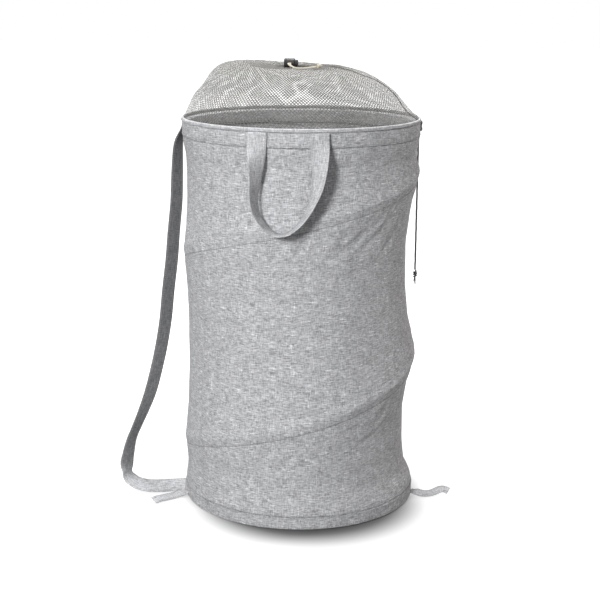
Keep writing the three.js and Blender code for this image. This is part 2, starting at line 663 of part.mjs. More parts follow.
// Drawcord: round the mouth inside its hem, then both ends out over the net and into the lock
function drawcordPath() {
  const front = 3 * COLUMNS / 4;
  const round = [];
  for (let column = front + 1; column <= front + COLUMNS - 1; column += 1) {
    round.push(polar(MOUTH_RADIUS, column * COLUMN_ANGLE, MOUTH_HEIGHT).add(MOUTH_CENTRE));
  }
  const turnOut = (side) => {
    const mouthEnd = side > 0 ? round[0] : round[round.length - 1];
    const lockX = MOUTH_X + side * DRAWCORD_SPACING / 2;
    const lockBack = new THREE.Vector3(lockX, LOCK_Y + LOCK_RADIUS, LOCK_HEIGHT);
    const [aside, forwards, up] = CORD_RISE_SHARES;
    const rise = new THREE.Vector3(lerp(mouthEnd.x, lockX, aside), lerp(mouthEnd.y, lockBack.y, forwards),
      lerp(mouthEnd.z, lockBack.z, up));
    const over = new THREE.Vector3(lockX, lerp(mouthEnd.y, lockBack.y, CORD_LEVEL_SHARE), LOCK_HEIGHT);
    const out = new THREE.Vector3(lockX, LOCK_Y - LOCK_RADIUS, LOCK_HEIGHT);
    return [rise, over, lockBack, out];
  };
  return [...turnOut(1).reverse(), ...round, ...turnOut(-1)];
}

// Lengths along the lock: its left end at zero, the cords through the slot, the button at the right
const CORDS_SPAN = DRAWCORD_SPACING + DRAWCORD_DIAMETER;
const SLOT_SPAN = CORDS_SPAN + 2 * PLUNGER_CLEARANCE;
const SLOT_HEIGHT = DRAWCORD_DIAMETER + 2 * PLUNGER_CLEARANCE;
const PLUNGER_START = LOCK_END_WALL + SEAM_GAP + SPRING_ROOM + SEAM_GAP;
const SLOT_START = PLUNGER_START + PLUNGER_WEB;
const CORDS_MIDDLE = SLOT_START + SLOT_SPAN / 2;
const BORE_RADIUS = LOCK_RADIUS - LOCK_WALL;

// Solid of revolution that lies along +X from its first length to its last
function revolveAlongX(profile, sides) {
  return revolve(profile, sides).rotateY(Math.PI / 2);
}

// Block that cuts a cord slot through a round piece, between two lengths along it
function slotCutter(from, to) {
  const reach = 2 * (LOCK_RADIUS + CUT_OVERRUN);
  const cutter = new THREE.BoxGeometry(to - from, reach, SLOT_HEIGHT);
  return cutter.translate((from + to) / 2, 0, 0);
}

function lockBarrelGeometry() {
  const r = LOCK_RADIUS;
  const c = LOCK_RIM_CHAMFER;
  const cup = [[0, 0], [r - c, 0], [r, c], [r, LOCK_LENGTH - c], [r - c, LOCK_LENGTH],
    [BORE_RADIUS, LOCK_LENGTH], [BORE_RADIUS, LOCK_END_WALL], [0, LOCK_END_WALL]];
  return subtractAll(revolveAlongX(cup, ROUND_SIDES), [slotCutter(SLOT_START, SLOT_START + SLOT_SPAN)]);
}

function lockPlungerGeometry() {
  const r = BORE_RADIUS - PLUNGER_CLEARANCE;
  const end = LOCK_LENGTH + PLUNGER_PROUD;
  const dome = PLUNGER_PROUD / 3;
  const rod = [[0, PLUNGER_START], [r, PLUNGER_START], [r, end - dome], [r - dome / 2, end - dome / 4],
    [r - 2 * dome, end], [0, end]];
  return subtractAll(revolveAlongX(rod, ROUND_SIDES),
    [slotCutter(SLOT_START, SLOT_START + SLOT_SPAN + PLUNGER_TRAVEL)]);
}

function lockSpringGeometry() {
  const perTurn = 8;
  const steps = SPRING_TURNS * perTurn;
  const start = LOCK_END_WALL + SEAM_GAP + SPRING_WIRE / 2;
  const end = PLUNGER_START - SEAM_GAP - SPRING_WIRE / 2;
  const radius = (SPRING_DIAMETER - SPRING_WIRE) / 2;
  const path = Array.from({ length: steps + 1 }, (_, i) => {
    const angle = 2 * Math.PI * i / perTurn;
    const along = lerp(start, end, i / steps);
    return new THREE.Vector3(along, radius * Math.cos(angle), radius * Math.sin(angle));
  });
  return sweepRound(path, SPRING_WIRE, 5);
}

// Knot at a cord's end: a swollen ball, its length along the cord
function knotGeometry(length, diameter) {
  const ball = new THREE.SphereGeometry(diameter / 2, 12, 8);
  return ball.scale(length / diameter, 1, 1);
}

// A free end of the drawcord: straight out of the lock, then over to the right along the net
function tailPath(side) {
  const offset = side * DRAWCORD_SPACING / 2;
  const points = TAIL_ROUTE.map(([x, y, z]) => new THREE.Vector3(x, y, z));
  const beside = points.map((point, i) => {
    const ahead = points[Math.min(points.length - 1, i + 1)];
    const behind = points[Math.max(0, i - 1)];
    const along = ahead.clone().sub(behind).setZ(0).normalize();
    return point.clone().add(new THREE.Vector3(-along.y, along.x, 0).multiplyScalar(offset));
  });
  return new THREE.CatmullRomCurve3(beside, false, 'centripetal').getSpacedPoints(TAIL_STEPS);
}

function addCover() {
  addPiece('mesh_cover', meshCoverGeometry(), NET_TAUPE);
  addPiece('mesh_hem', meshHemGeometry(), NET_TAUPE);
  addPiece('drawcord', sweepRound(drawcordPath(), DRAWCORD_DIAMETER, DRAWCORD_SIDES), CREAM_CORD);
  const lock = new THREE.Group();
  lock.position.set(MOUTH_X - CORDS_MIDDLE, LOCK_Y, LOCK_HEIGHT);
  hamper.add(lock);
  addPiece('cord_lock_barrel', lockBarrelGeometry(), BLACK_PLASTIC, lock);
  addPiece('cord_lock_plunger', lockPlungerGeometry(), BLACK_PLASTIC, lock);
  addPiece('cord_lock_spring', lockSpringGeometry(), SPRING_STEEL, lock);
  const tails = new THREE.Group();
  tails.position.set(MOUTH_X, LOCK_Y - LOCK_RADIUS - SEAM_GAP, LOCK_HEIGHT);
  hamper.add(tails);
  const tail = (side) => sweepRound(tailPath(side), DRAWCORD_DIAMETER, CLOSURE_CORD_SIDES);
  addPiece('drawcord_tail_near', tail(1), CREAM_CORD, tails);
  addPiece('drawcord_tail_far', tail(-1), CREAM_CORD, tails);
  const ball = knotGeometry(DRAWCORD_KNOT_LENGTH, DRAWCORD_KNOT_DIAMETER);
  const knot = addPiece('drawcord_knot', ball, CREAM_CORD, tails);
  const [end, before] = [TAIL_ROUTE[TAIL_ROUTE.length - 1], TAIL_ROUTE[TAIL_ROUTE.length - 2]];
  const along = new THREE.Vector3(...end).sub(new THREE.Vector3(...before)).normalize();
  knot.position.set(...end).addScaledVector(along, DRAWCORD_KNOT_LENGTH / 2 + SEAM_GAP);
  knot.quaternion.setFromUnitVectors(new THREE.Vector3(1, 0, 0), along);
}

// Half of the loop's path from its leg to its lowest point, then mirrored for the other half
function handlePlaces() {
  const leg = HANDLE_DROP * HANDLE_LEG_SHARE;
  const places = [];
  const top = RIM_CASING_TOP;
  const sewn = BODY_RADIUS + SEAM_GAP + HANDLE_THICKNESS / 2;
  const place = (x, drop, outX, outZ) => {
    const turn = Math.PI / 2 * ease((drop / HANDLE_DROP - HANDLE_TURN_SHARE) / (1 - HANDLE_TURN_SHARE));
    const lift = HANDLE_STANDOFF * ease(drop / leg);
    const bodyAngle = Math.atan2(-Math.sqrt(sewn * sewn - x * x), x);
    const radius = sewn + lift + HANDLE_WIDTH / 2 * Math.sin(turn);
    const outwards = polar(1, bodyAngle, 0);
    const aside = new THREE.Vector3(-outwards.y * outX, outwards.x * outX, outZ);
    const across = aside.multiplyScalar(Math.cos(turn)).addScaledVector(outwards, Math.sin(turn));
    places.push({ centre: polar(radius, bodyAngle, top - drop), across });
  };
  const legDrops = Array.from({ length: HANDLE_LEG_STEPS }, (_, i) => leg * i / HANDLE_LEG_STEPS);
  for (const drop of legDrops) place(-HANDLE_HALF_SPAN, drop, -1, 0);
  for (let i = 0; i <= HANDLE_ARC_STEPS; i += 1) {
    const round = Math.PI * i / HANDLE_ARC_STEPS;
    const x = -HANDLE_HALF_SPAN * Math.cos(round);
    const drop = leg + (HANDLE_DROP - leg) * Math.sin(round);
    place(x, drop, -Math.cos(round), -Math.sin(round));
  }
  for (const drop of legDrops.reverse()) place(HANDLE_HALF_SPAN, drop, 1, 0);
  return places;
}

function addHandles() {
  const loop = sweepStrip(handlePlaces(), HANDLE_WIDTH, HANDLE_THICKNESS);
  addPiece('front_handle', loop, HEATHER_GREY);
  const rear = addPiece('rear_handle', loop.clone(), HEATHER_GREY);
  rear.rotation.z = Math.PI;
}

// Centre line and lie of the shoulder strap, from the rim seam down to the floor and the base
function strapPlaces() {
  const sewn = BODY_RADIUS + SEAM_GAP + STRAP_THICKNESS / 2;
  const turned = (share) => new THREE.Vector3(Math.sin(Math.PI * share), Math.cos(Math.PI * share), 0);
  const hanging = STRAP_ROUTE_SHARES.map(([out, forwards, height, turn]) => ({
    centre: new THREE.Vector3(-BODY_RADIUS * (1 + out), -BODY_RADIUS * forwards, BODY_HEIGHT * height),
    across: turned(turn),
  }));
  const along = STRAP_FLOOR_SHARES.map(([out, forwards, height]) => ({
    centre: new THREE.Vector3(-BODY_RADIUS * (1 + out), -BODY_RADIUS * forwards, BODY_HEIGHT * height),
    across: new THREE.Vector3(0, Math.cos(STRAP_FLOOR_LEAN), Math.sin(STRAP_FLOOR_LEAN)),
  }));
  const level = (drop) => ({
    centre: new THREE.Vector3(-sewn, 0, RIM_CASING_TOP - drop),
    across: turned(0),
  });
  const [flat, tipped] = [Math.cos(STRAP_FLOOR_LEAN), Math.sin(STRAP_FLOOR_LEAN)];
  const sideways = polar(flat, STRAP_BASE_ANGLE - Math.PI / 2, tipped);
  const atBase = (out) => ({
    centre: polar(BODY_RADIUS + SEAM_GAP + out, STRAP_BASE_ANGLE, STRAP_BASE_HEIGHT),
    across: sideways,
  });
  return [level(0), level(RIM_HEM / 2), ...hanging, ...along, atBase(STRAP_WIDTH / 2), atBase(0)];
}

function shoulderStrapGeometry() {
  const places = strapPlaces();
  const centres = new THREE.CatmullRomCurve3(places.map((p) => p.centre), false, 'centripetal');
  const spaced = Array.from({ length: STRAP_STEPS + 1 }, (_, i) => {
    const share = i / STRAP_STEPS * (places.length - 1);
    const from = Math.min(places.length - 2, Math.floor(share));
    const across = places[from].across.clone().lerp(places[from + 1].across, share - from).normalize();
    return { centre: centres.getPoint(i / STRAP_STEPS), across };
  });
  return sweepStrip(spaced, STRAP_WIDTH, STRAP_THICKNESS);
}

// A tape that leaves the base seam level, dips to the floor and turns up a little at its tip
function addTie(name, angle) {
  const floor = TIE_THICKNESS / 2 + SEAM_GAP;
  const dip = TIE_LENGTH * TIE_DIP_SHARE;
  const places = Array.from({ length: TIE_STEPS + 1 }, (_, i) => {
    const out = TIE_LENGTH * i / TIE_STEPS;
    const fall = ease(out / dip);
    const curl = Math.max(0, out - dip) / 4;
    const centre = new THREE.Vector3(out, 0, lerp(TIE_HEIGHT, floor, fall) + curl);
    return { centre, across: new THREE.Vector3(0, 1, 0) };
  });
  const tie = addPiece(name, sweepStrip(places, TIE_WIDTH, TIE_THICKNESS), HEATHER_GREY);
  tie.position.copy(polar(BODY_RADIUS + SEAM_GAP, angle, 0));
  tie.rotation.z = angle;
}

// Round toggle with a waist, bored for the closure cord, its top at zero
function toggleGeometry() {
  const bore = CLOSURE_CORD_DIAMETER / 2 + SLIDE_CLEARANCE;
  const outer = TOGGLE_DIAMETER / 2;
  const waist = outer * TOGGLE_WAIST_SHARE;
  const lip = TOGGLE_LENGTH / 8;
  const profile = [[bore, -TOGGLE_LENGTH], [waist, -TOGGLE_LENGTH], [outer, lip - TOGGLE_LENGTH],
    [outer, 2 * lip - TOGGLE_LENGTH], [waist, 4 * lip - TOGGLE_LENGTH], [outer, -2 * lip], [outer, -lip],
    [waist, 0], [bore, 0]];
  return revolve([...profile, profile[0]], TOGGLE_SIDES);
}

// Cord that leaves the rim seam, turns down through the toggle and hangs to its knot
function addClosure() {
  const closure = new THREE.Group();
  closure.rotation.z = CLOSURE_ANGLE;
  hamper.add(closure);
  const seam = BINDING_OUTSIDE + SEAM_GAP;
  const bend = BODY_RADIUS + CLOSURE_STANDOFF - seam;
  const seamHeight = BODY_HEIGHT - BINDING_HEIGHT / 2;
  const toggleTop = seamHeight - bend;
  const toggleBottom = toggleTop - TOGGLE_LENGTH;
  const path = Array.from({ length: CLOSURE_BEND_STEPS + 1 }, (_, i) => {
    const turn = Math.PI / 2 * i / CLOSURE_BEND_STEPS;
    return new THREE.Vector3(seam + bend * Math.sin(turn), 0, toggleTop + bend * Math.cos(turn));
  });
  path.push(new THREE.Vector3(seam + bend, 0, toggleBottom));
  const cord = (route) => sweepRound(route, CLOSURE_CORD_DIAMETER, CLOSURE_CORD_SIDES);
  addPiece('closure_loop', cord(path), DARK_CORD, closure);
  const toggle = addPiece('closure_toggle', toggleGeometry(), BLACK_PLASTIC, closure);
  toggle.position.set(seam + bend, 0, toggleTop);
  const cordTop = toggleBottom - SEAM_GAP;
  const hanging = Array.from({ length: CLOSURE_CORD_STEPS + 1 }, (_, i) => new THREE.Vector3(
    seam + bend, 0, cordTop - CLOSURE_CORD_LENGTH * i / CLOSURE_CORD_STEPS));
  addPiece('closure_cord', cord(hanging), DARK_CORD, closure);
  const ball = knotGeometry(CLOSURE_KNOT_LENGTH, CLOSURE_KNOT_DIAMETER);
  const knot = addPiece('closure_knot', ball, DARK_CORD, closure);
  knot.rotation.y = Math.PI / 2;
  knot.position.set(seam + bend, 0, cordTop - CLOSURE_CORD_LENGTH - SEAM_GAP - CLOSURE_KNOT_LENGTH / 2);
}

addBase();
addWall();
addRim();
addCover();
addHandles();
addPiece('shoulder_strap', shoulderStrapGeometry(), HEATHER_GREY);
addTie('left_tie', LEFT_TIE_ANGLE);
addTie('right_tie', RIGHT_TIE_ANGLE);
addClosure();

export default hamper;
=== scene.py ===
# Pop up laundry hamper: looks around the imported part. Metres, +Z up, the front handle at -Y.
import json
from contextlib import contextmanager
from math import cos, exp, pi, radians, sin

import bmesh
import bpy
import numpy as np
from mathutils import Matrix, Vector, noise
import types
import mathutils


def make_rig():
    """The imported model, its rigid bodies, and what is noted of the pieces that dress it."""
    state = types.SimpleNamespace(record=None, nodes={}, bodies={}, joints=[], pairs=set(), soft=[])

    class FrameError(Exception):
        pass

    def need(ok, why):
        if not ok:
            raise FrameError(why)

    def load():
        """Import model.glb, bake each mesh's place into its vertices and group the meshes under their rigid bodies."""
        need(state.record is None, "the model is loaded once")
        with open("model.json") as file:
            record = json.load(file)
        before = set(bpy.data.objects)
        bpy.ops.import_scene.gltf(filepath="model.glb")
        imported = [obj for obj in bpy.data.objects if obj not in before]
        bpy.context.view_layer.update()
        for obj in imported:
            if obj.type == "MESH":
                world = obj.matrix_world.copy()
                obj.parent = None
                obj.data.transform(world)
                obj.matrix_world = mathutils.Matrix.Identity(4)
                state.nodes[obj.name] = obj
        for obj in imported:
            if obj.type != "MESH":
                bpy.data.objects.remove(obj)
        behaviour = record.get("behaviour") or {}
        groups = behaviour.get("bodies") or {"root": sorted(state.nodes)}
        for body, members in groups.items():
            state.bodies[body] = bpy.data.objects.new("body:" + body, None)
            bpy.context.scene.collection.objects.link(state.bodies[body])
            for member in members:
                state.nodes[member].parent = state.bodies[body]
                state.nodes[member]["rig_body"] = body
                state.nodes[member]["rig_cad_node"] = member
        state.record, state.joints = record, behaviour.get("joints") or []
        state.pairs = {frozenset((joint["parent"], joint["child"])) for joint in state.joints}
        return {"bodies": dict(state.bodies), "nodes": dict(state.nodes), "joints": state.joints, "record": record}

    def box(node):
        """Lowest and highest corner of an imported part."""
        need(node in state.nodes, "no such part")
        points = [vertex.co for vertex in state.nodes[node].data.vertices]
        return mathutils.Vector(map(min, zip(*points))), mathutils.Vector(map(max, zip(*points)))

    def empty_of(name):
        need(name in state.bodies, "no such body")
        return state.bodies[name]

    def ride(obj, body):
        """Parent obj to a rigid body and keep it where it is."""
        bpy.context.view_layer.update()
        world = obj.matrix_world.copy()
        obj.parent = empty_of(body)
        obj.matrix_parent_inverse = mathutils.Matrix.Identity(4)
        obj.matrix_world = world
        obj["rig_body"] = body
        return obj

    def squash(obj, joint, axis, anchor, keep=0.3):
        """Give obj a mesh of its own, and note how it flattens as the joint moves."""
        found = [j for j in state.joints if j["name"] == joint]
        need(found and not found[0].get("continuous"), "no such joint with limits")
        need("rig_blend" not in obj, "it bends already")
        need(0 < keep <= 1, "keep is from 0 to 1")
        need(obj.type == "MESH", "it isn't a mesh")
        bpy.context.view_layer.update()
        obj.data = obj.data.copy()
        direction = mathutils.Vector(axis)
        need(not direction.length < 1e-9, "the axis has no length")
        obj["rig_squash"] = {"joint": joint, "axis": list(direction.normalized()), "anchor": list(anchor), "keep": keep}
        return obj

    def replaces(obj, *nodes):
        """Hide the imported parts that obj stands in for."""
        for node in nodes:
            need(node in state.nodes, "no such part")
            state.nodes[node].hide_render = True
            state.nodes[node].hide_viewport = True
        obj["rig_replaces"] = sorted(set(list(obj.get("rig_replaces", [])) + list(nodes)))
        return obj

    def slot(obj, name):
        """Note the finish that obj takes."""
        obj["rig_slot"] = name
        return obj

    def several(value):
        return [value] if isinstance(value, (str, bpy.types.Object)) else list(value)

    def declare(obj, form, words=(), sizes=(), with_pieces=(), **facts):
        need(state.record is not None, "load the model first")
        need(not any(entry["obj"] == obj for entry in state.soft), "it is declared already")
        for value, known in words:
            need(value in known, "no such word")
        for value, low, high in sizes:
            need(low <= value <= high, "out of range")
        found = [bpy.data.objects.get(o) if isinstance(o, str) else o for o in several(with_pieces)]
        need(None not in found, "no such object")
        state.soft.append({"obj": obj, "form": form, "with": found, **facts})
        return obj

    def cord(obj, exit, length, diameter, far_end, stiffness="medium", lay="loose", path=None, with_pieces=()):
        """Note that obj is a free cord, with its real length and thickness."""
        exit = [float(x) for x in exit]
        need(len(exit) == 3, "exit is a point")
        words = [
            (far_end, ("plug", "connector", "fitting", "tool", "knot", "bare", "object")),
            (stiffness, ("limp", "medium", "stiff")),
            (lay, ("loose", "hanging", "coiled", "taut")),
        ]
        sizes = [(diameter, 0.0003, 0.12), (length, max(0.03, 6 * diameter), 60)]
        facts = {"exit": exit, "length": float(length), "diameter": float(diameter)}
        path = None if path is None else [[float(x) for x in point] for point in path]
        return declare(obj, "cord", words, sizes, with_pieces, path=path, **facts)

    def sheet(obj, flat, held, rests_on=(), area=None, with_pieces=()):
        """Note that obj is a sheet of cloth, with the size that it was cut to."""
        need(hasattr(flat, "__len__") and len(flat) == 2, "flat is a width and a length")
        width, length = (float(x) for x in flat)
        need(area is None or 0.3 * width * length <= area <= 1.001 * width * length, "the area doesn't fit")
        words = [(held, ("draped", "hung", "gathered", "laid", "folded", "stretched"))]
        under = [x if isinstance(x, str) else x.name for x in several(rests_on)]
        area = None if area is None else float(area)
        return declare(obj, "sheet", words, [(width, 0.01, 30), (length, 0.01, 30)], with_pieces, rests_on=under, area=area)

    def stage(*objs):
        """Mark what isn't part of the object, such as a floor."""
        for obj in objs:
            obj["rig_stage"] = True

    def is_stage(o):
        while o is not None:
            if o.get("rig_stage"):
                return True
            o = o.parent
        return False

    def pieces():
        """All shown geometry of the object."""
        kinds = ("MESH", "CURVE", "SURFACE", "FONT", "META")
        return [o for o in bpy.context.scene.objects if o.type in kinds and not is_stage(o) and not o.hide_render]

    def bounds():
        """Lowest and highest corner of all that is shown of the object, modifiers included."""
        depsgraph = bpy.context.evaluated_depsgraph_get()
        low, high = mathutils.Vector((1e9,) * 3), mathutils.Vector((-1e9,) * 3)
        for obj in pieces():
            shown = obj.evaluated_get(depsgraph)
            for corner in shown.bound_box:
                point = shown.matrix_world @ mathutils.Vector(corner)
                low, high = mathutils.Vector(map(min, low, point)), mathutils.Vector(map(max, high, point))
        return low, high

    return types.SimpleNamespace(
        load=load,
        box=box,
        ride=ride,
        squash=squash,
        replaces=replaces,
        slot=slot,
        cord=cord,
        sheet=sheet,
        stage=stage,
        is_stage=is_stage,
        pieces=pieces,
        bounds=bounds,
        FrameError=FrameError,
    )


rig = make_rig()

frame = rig.load()
cad_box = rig.bounds()

MM = 0.001
TURN = 2 * pi

# Sizes shared with the part, in millimetres
BODY_RADIUS = 184
BODY_HEIGHT = 608
SEAM_GAP = 0.3
PANEL_CLOTH = 1.2
CASING_CLOTH = 1
WIRE_DIAMETER = 3
RIM_HEM = 22
BASE_HEM = 20
BINDING_HEIGHT = 6
BINDING_OVERHANG = 1
COLUMNS = 32
COLUMN_ANGLE = TURN / COLUMNS
SPIRAL_STEPS = 80
SPIRAL_LEAD_STEPS = 1
SPIRAL_STEADY_SHARE = 0.25
SPIRAL_LAG_SHARE = 0.035
SPIRAL_BULGE = 3
HEM_BLEND = 34
CHANNEL_WIDTH = 26
SLACK_RIGHT = 19
SLACK_LEFT = 8
FULL_SPAN_SHARE = 0.4
WALL_ROWS_SHARES = (
    (0, 0), (0.06, 0.24), (0.18, 0.64), (0.38, 0.95), (0.62, 1), (0.82, 0.66), (0.94, 0.24), (1, 0))
WALL_END_RADIUS = 182.7
RING_RADIUS = 178.6
CASING_LEG_RADIUS = 175.7
CASING_INNER_RADIUS = 174.7
SPIRAL_BOTTOM = 7.2
SPIRAL_TOP = 594.5
WALL_BOTTOM = 1.3
WALL_TOP = 600.4
RIM_CASING_TOP = 601.7
RIM_HEM_EDGE = RIM_CASING_TOP - RIM_HEM
SEWN_RADIUS = BODY_RADIUS + SEAM_GAP

# Camera fitted to the photograph's rim and base ellipses
CAMERA_AT = (0.247, -2.137, 0.824)
LOOK_AT = (0, 0, 0.3155)
CAMERA_LENS = 83.16
CAMERA_LEAN = radians(0.4)


def ease(x):
    """A soft step from 0 to 1."""
    x = np.clip(x, 0, 1)
    return x * x * (3 - 2 * x)


def lerp(a, b, t):
    return a + (b - a) * t


def unit(v):
    v = np.asarray(v, float)
    return v / np.maximum(1e-12, np.linalg.norm(v, axis=-1, keepdims=True))


def circle(count):
    """Angles of evenly spaced points on a circle."""
    return TURN * np.arange(count) / count


def polar(radius, angle, height):
    """Points at a radius, angle and height about the drum's axis."""
    return np.stack(np.broadcast_arrays(radius * np.cos(angle), radius * np.sin(angle), height), -1)


def there_and_back(values):
    """Values and then the same in reverse, for the two faces of a sheet."""
    return np.concatenate([values, values[::-1]])


def smooth_noise(points, scale, seed):
    """Smooth noise from -1 to 1 at each point of an array, its features about scale across."""
    shift = Vector((seed * 3.17, seed * 1.91, seed * 7.3))
    made = [noise.fractal(Vector(p) / scale + shift, 1, 2, 2) for p in points.reshape(-1, 3)]
    return np.array(made).reshape(points.shape[:-1])


def point_values(piece, name, values):
    """Stores one number for each point of a piece's mesh."""
    made = piece.data.attributes.new(name, "FLOAT", "POINT")
    made.data.foreach_set("value", np.asarray(values, np.float32).ravel())


@contextmanager
def edited(mesh):
    """A mesh opened for editing and written back at the end."""
    work = bmesh.new()
    work.from_mesh(mesh)
    yield work
    work.to_mesh(mesh)
    work.free()


def add_object(name, data, at=(0, 0, 0), target=None, lean=0.0):
    """Adds data to the scene as an object. A camera or a lamp looks at its target."""
    made = bpy.data.objects.new(name, data)
    bpy.context.scene.collection.objects.link(made)
    made.location = at
    if target is not None:
        turn = (Vector(target) - Vector(at)).to_track_quat("-Z", "Y").to_matrix()
        made.rotation_euler = (turn @ Matrix.Rotation(lean, 3, "Z")).to_euler()
    return made


def new_piece(name, points, faces, uv=None):
    """A smooth piece from points in metres, its faces turned outwards."""
    mesh = bpy.data.meshes.new(name)
    mesh.from_pydata(np.asarray(points).tolist(), [], faces)
    if uv is not None:
        mesh.uv_layers.new(name="cloth").data.foreach_set("uv", uv.astype(np.float32).ravel())
    with edited(mesh) as work:
        bmesh.ops.recalc_face_normals(work, faces=work.faces)
    mesh.polygons.foreach_set("use_smooth", [True] * len(mesh.polygons))
    return add_object(name, mesh)


def grid_mesh(name, points, wrap_rows, wrap_cols, uv_rows, uv_cols):
    """A mesh from a grid of points [row, column, 3] in metres. Row u and column v coordinates are in metres,
    one more than the points where the grid wraps. A grid that wraps in columns only is capped at its ends."""
    rows, cols = points.shape[:2]
    uv_rows, uv_cols = np.asarray(uv_rows), np.asarray(uv_cols)
    i, j = np.meshgrid(np.arange(rows - 1 + wrap_rows), np.arange(cols - 1 + wrap_cols), indexing="ij")
    i, j = i.ravel(), j.ravel()
    i, j = np.stack([i, i + 1, i + 1, i], 1), np.stack([j, j, j + 1, j + 1], 1)
    faces = ((i % rows) * cols + j % cols).tolist()
    uv = np.stack([uv_rows[i], uv_cols[j]], 2).reshape(-1, 2)
    if wrap_cols and not wrap_rows:
        for row in (0, rows - 1):
            faces.append([row * cols + c for c in range(cols)])
            uv = np.vstack([uv, np.stack([np.full(cols, uv_rows[row]), uv_cols[:cols]], 1)])
    return new_piece(name, points.reshape(-1, 3), faces, uv)


def arc_lengths(points, wrap=False):
    """Running length along points, with the closing step where they wrap."""
    p = np.asarray(points)
    steps = np.linalg.norm(np.diff(np.vstack([p, p[:1]]) if wrap else p, axis=0), axis=1)
    return np.concatenate([[0], np.cumsum(steps)])


def sampled(values, run, at):
    """Rows of values along a running length, read at other lengths."""
    return np.stack([np.interp(at, run, column) for column in values.T], 1)


def spline(points, count):
    """Centripetal Catmull-Rom through points, resampled to count evenly spaced points."""
    p = np.asarray(points, float)
    p = np.vstack([2 * p[0] - p[1], p, 2 * p[-1] - p[-2]])
    fine = []
    for k in range(1, len(p) - 2):
        knots = [0.0]
        for a, b in zip(p[k - 1:k + 2], p[k:k + 3]):
            knots.append(knots[-1] + max(1e-9, np.linalg.norm(b[:3] - a[:3])) ** 0.5)
        for t in np.linspace(knots[1], knots[2], 24, endpoint=False):
            made = p[k - 1:k + 3]
            for skip, span in ((0, 1), (0, 2), (1, 1)):
                made = [(high - t) / (high - low) * a + (t - low) / (high - low) * b
                        for a, b, low, high in zip(made, made[1:], knots[skip:], knots[skip + span:])]
            fine.append(made[0])
    fine = np.array(fine + [p[-2]])
    length = arc_lengths(fine[:, :3])
    return sampled(fine, length, np.linspace(0, length[-1], count))


def tangents(path):
    return unit(np.gradient(path, axis=0))


def square_to(along, ways):
    """Directions turned to stand square to others."""
    return unit(ways - along * (ways * along).sum(-1, keepdims=True))


def sweep(name, path, first, second, aside, above, around):
    """A capped skin along a path, its section given by distances along the first and second directions."""
    points = path[:, None] + first[:, None] * aside[..., None] + second[:, None] * above[..., None]
    return grid_mesh(name, points, False, True, arc_lengths(path), around)


def tube(name, path, radius, sides, start=(0, 0, 1), twist=0.0, strands=0, relief=0.0):
    """A round cord along a path in metres. Strands raise ridges of relief that twist per metre of length."""
    along = tangents(path)
    side = np.array(start, float)
    if abs(side @ along[0]) > 0.9:
        side = np.array((1.0, 0, 0))
    first = []
    for ahead in along:
        side = square_to(ahead, side)
        first.append(side)
    first, turn = np.array(first), circle(sides)
    radii = np.broadcast_to(radius, len(path))
    ring = radii[:, None] + relief * np.cos(strands * (turn - twist * arc_lengths(path)[:, None]))
    around = np.append(turn, TURN) * radii.mean()
    return sweep(name, path, first, np.cross(along, first), ring * np.cos(turn), ring * np.sin(turn), around)


def ring_mesh(name, radius, angle, height, mean_radius, across):
    """A closed skin round the drum's axis, from its places in mm [section, column]."""
    around = np.linspace(0, TURN, radius.shape[1] + 1) * mean_radius * MM
    points = (polar(radius, angle, height) * MM).transpose(1, 0, 2)
    return grid_mesh(name, points, True, True, around, across)


def revolved(name, profile, columns, reshape):
    """A closed profile of (radius, height) in millimetres turned about the drum's axis and then reshaped."""
    profile = np.asarray(profile, float)
    r, z, a = np.broadcast_arrays(profile[:, None, 0], profile[:, None, 1], circle(columns) + pi / 2)
    r, z = reshape(r, z, a)
    return ring_mesh(name, r, a, z, profile[:, 0].mean(), arc_lengths(profile * MM, wrap=True))


STRIP_EDGE = 0.3


def strip_section(share):
    """Half thickness of a strip as a share of its full value, from -1 to 1 across its width."""
    return 0.35 + 0.65 * np.clip((1 - np.abs(share)) / STRIP_EDGE * 0.5, 0, 1) ** 0.5


def strip_frame(centres, across):
    along = tangents(centres)
    first = square_to(along, across)
    return first, np.cross(along, first)


def strip(name, centres, across, width, thickness, cross, shaded=1.0):
    """A flat woven strip along centres, its width lying along across. The edges are rounded.
    The attribute inner is 0 on the face that the frame points to and the strength of painted shade on the other."""
    first, up = strip_frame(centres, across)
    share, face = there_and_back(np.linspace(-1, 1, cross)), np.repeat((1, -1), cross)
    around = np.append(share, share[0]) * width / 2
    made = sweep(name, centres, first, up, around[:-1], strip_section(share) * face * thickness / 2, around)
    point_values(made, "inner", np.outer(np.broadcast_to(shaded, len(centres)), face < 0))
    return made


STITCH_PITCH = 0.0034
STITCH_LENGTH = 0.0027
STITCH_WIDTH = 0.0008
STITCH_HEIGHT = 0.00055
STITCH_INSET = 0.0028
STITCH_ENDS = 0.004
STITCH_POINTS = 10
STITCH_FACES = [face for k, n in ((0, 1), (1, 2), (2, 3), (3, 0))
                for face in ((0, 1 + k, 1 + n), (1 + k, 5 + k, 5 + n, 1 + n), (5 + k, 9, 5 + n))]


def stitch_points(path, normals):
    """The points of a row of thread stitches that lie along a path on a surface."""
    run = arc_lengths(path)
    count = max(1, int(run[-1] / STITCH_PITCH))
    at = (np.arange(count) + 0.5) * run[-1] / count
    centre, along = sampled(path, run, at), unit(sampled(tangents(path), run, at))
    up = square_to(along, sampled(normals, run, at))
    side = np.cross(up, along)

    def corner(lengthways, sideways, lift):
        return (centre + along * STITCH_LENGTH * lengthways + side * STITCH_WIDTH * sideways
                + up * STITCH_HEIGHT * lift)

    ways = ((-0.5, 0), (0, 1), (0.5, 0), (0, -0.4))
    rows = [corner(place, *way) for place in (-0.28, 0.28) for way in ways]
    return np.stack([corner(-0.5, 0, -0.4), *rows, corner(0.5, 0, -0.4)], 1)


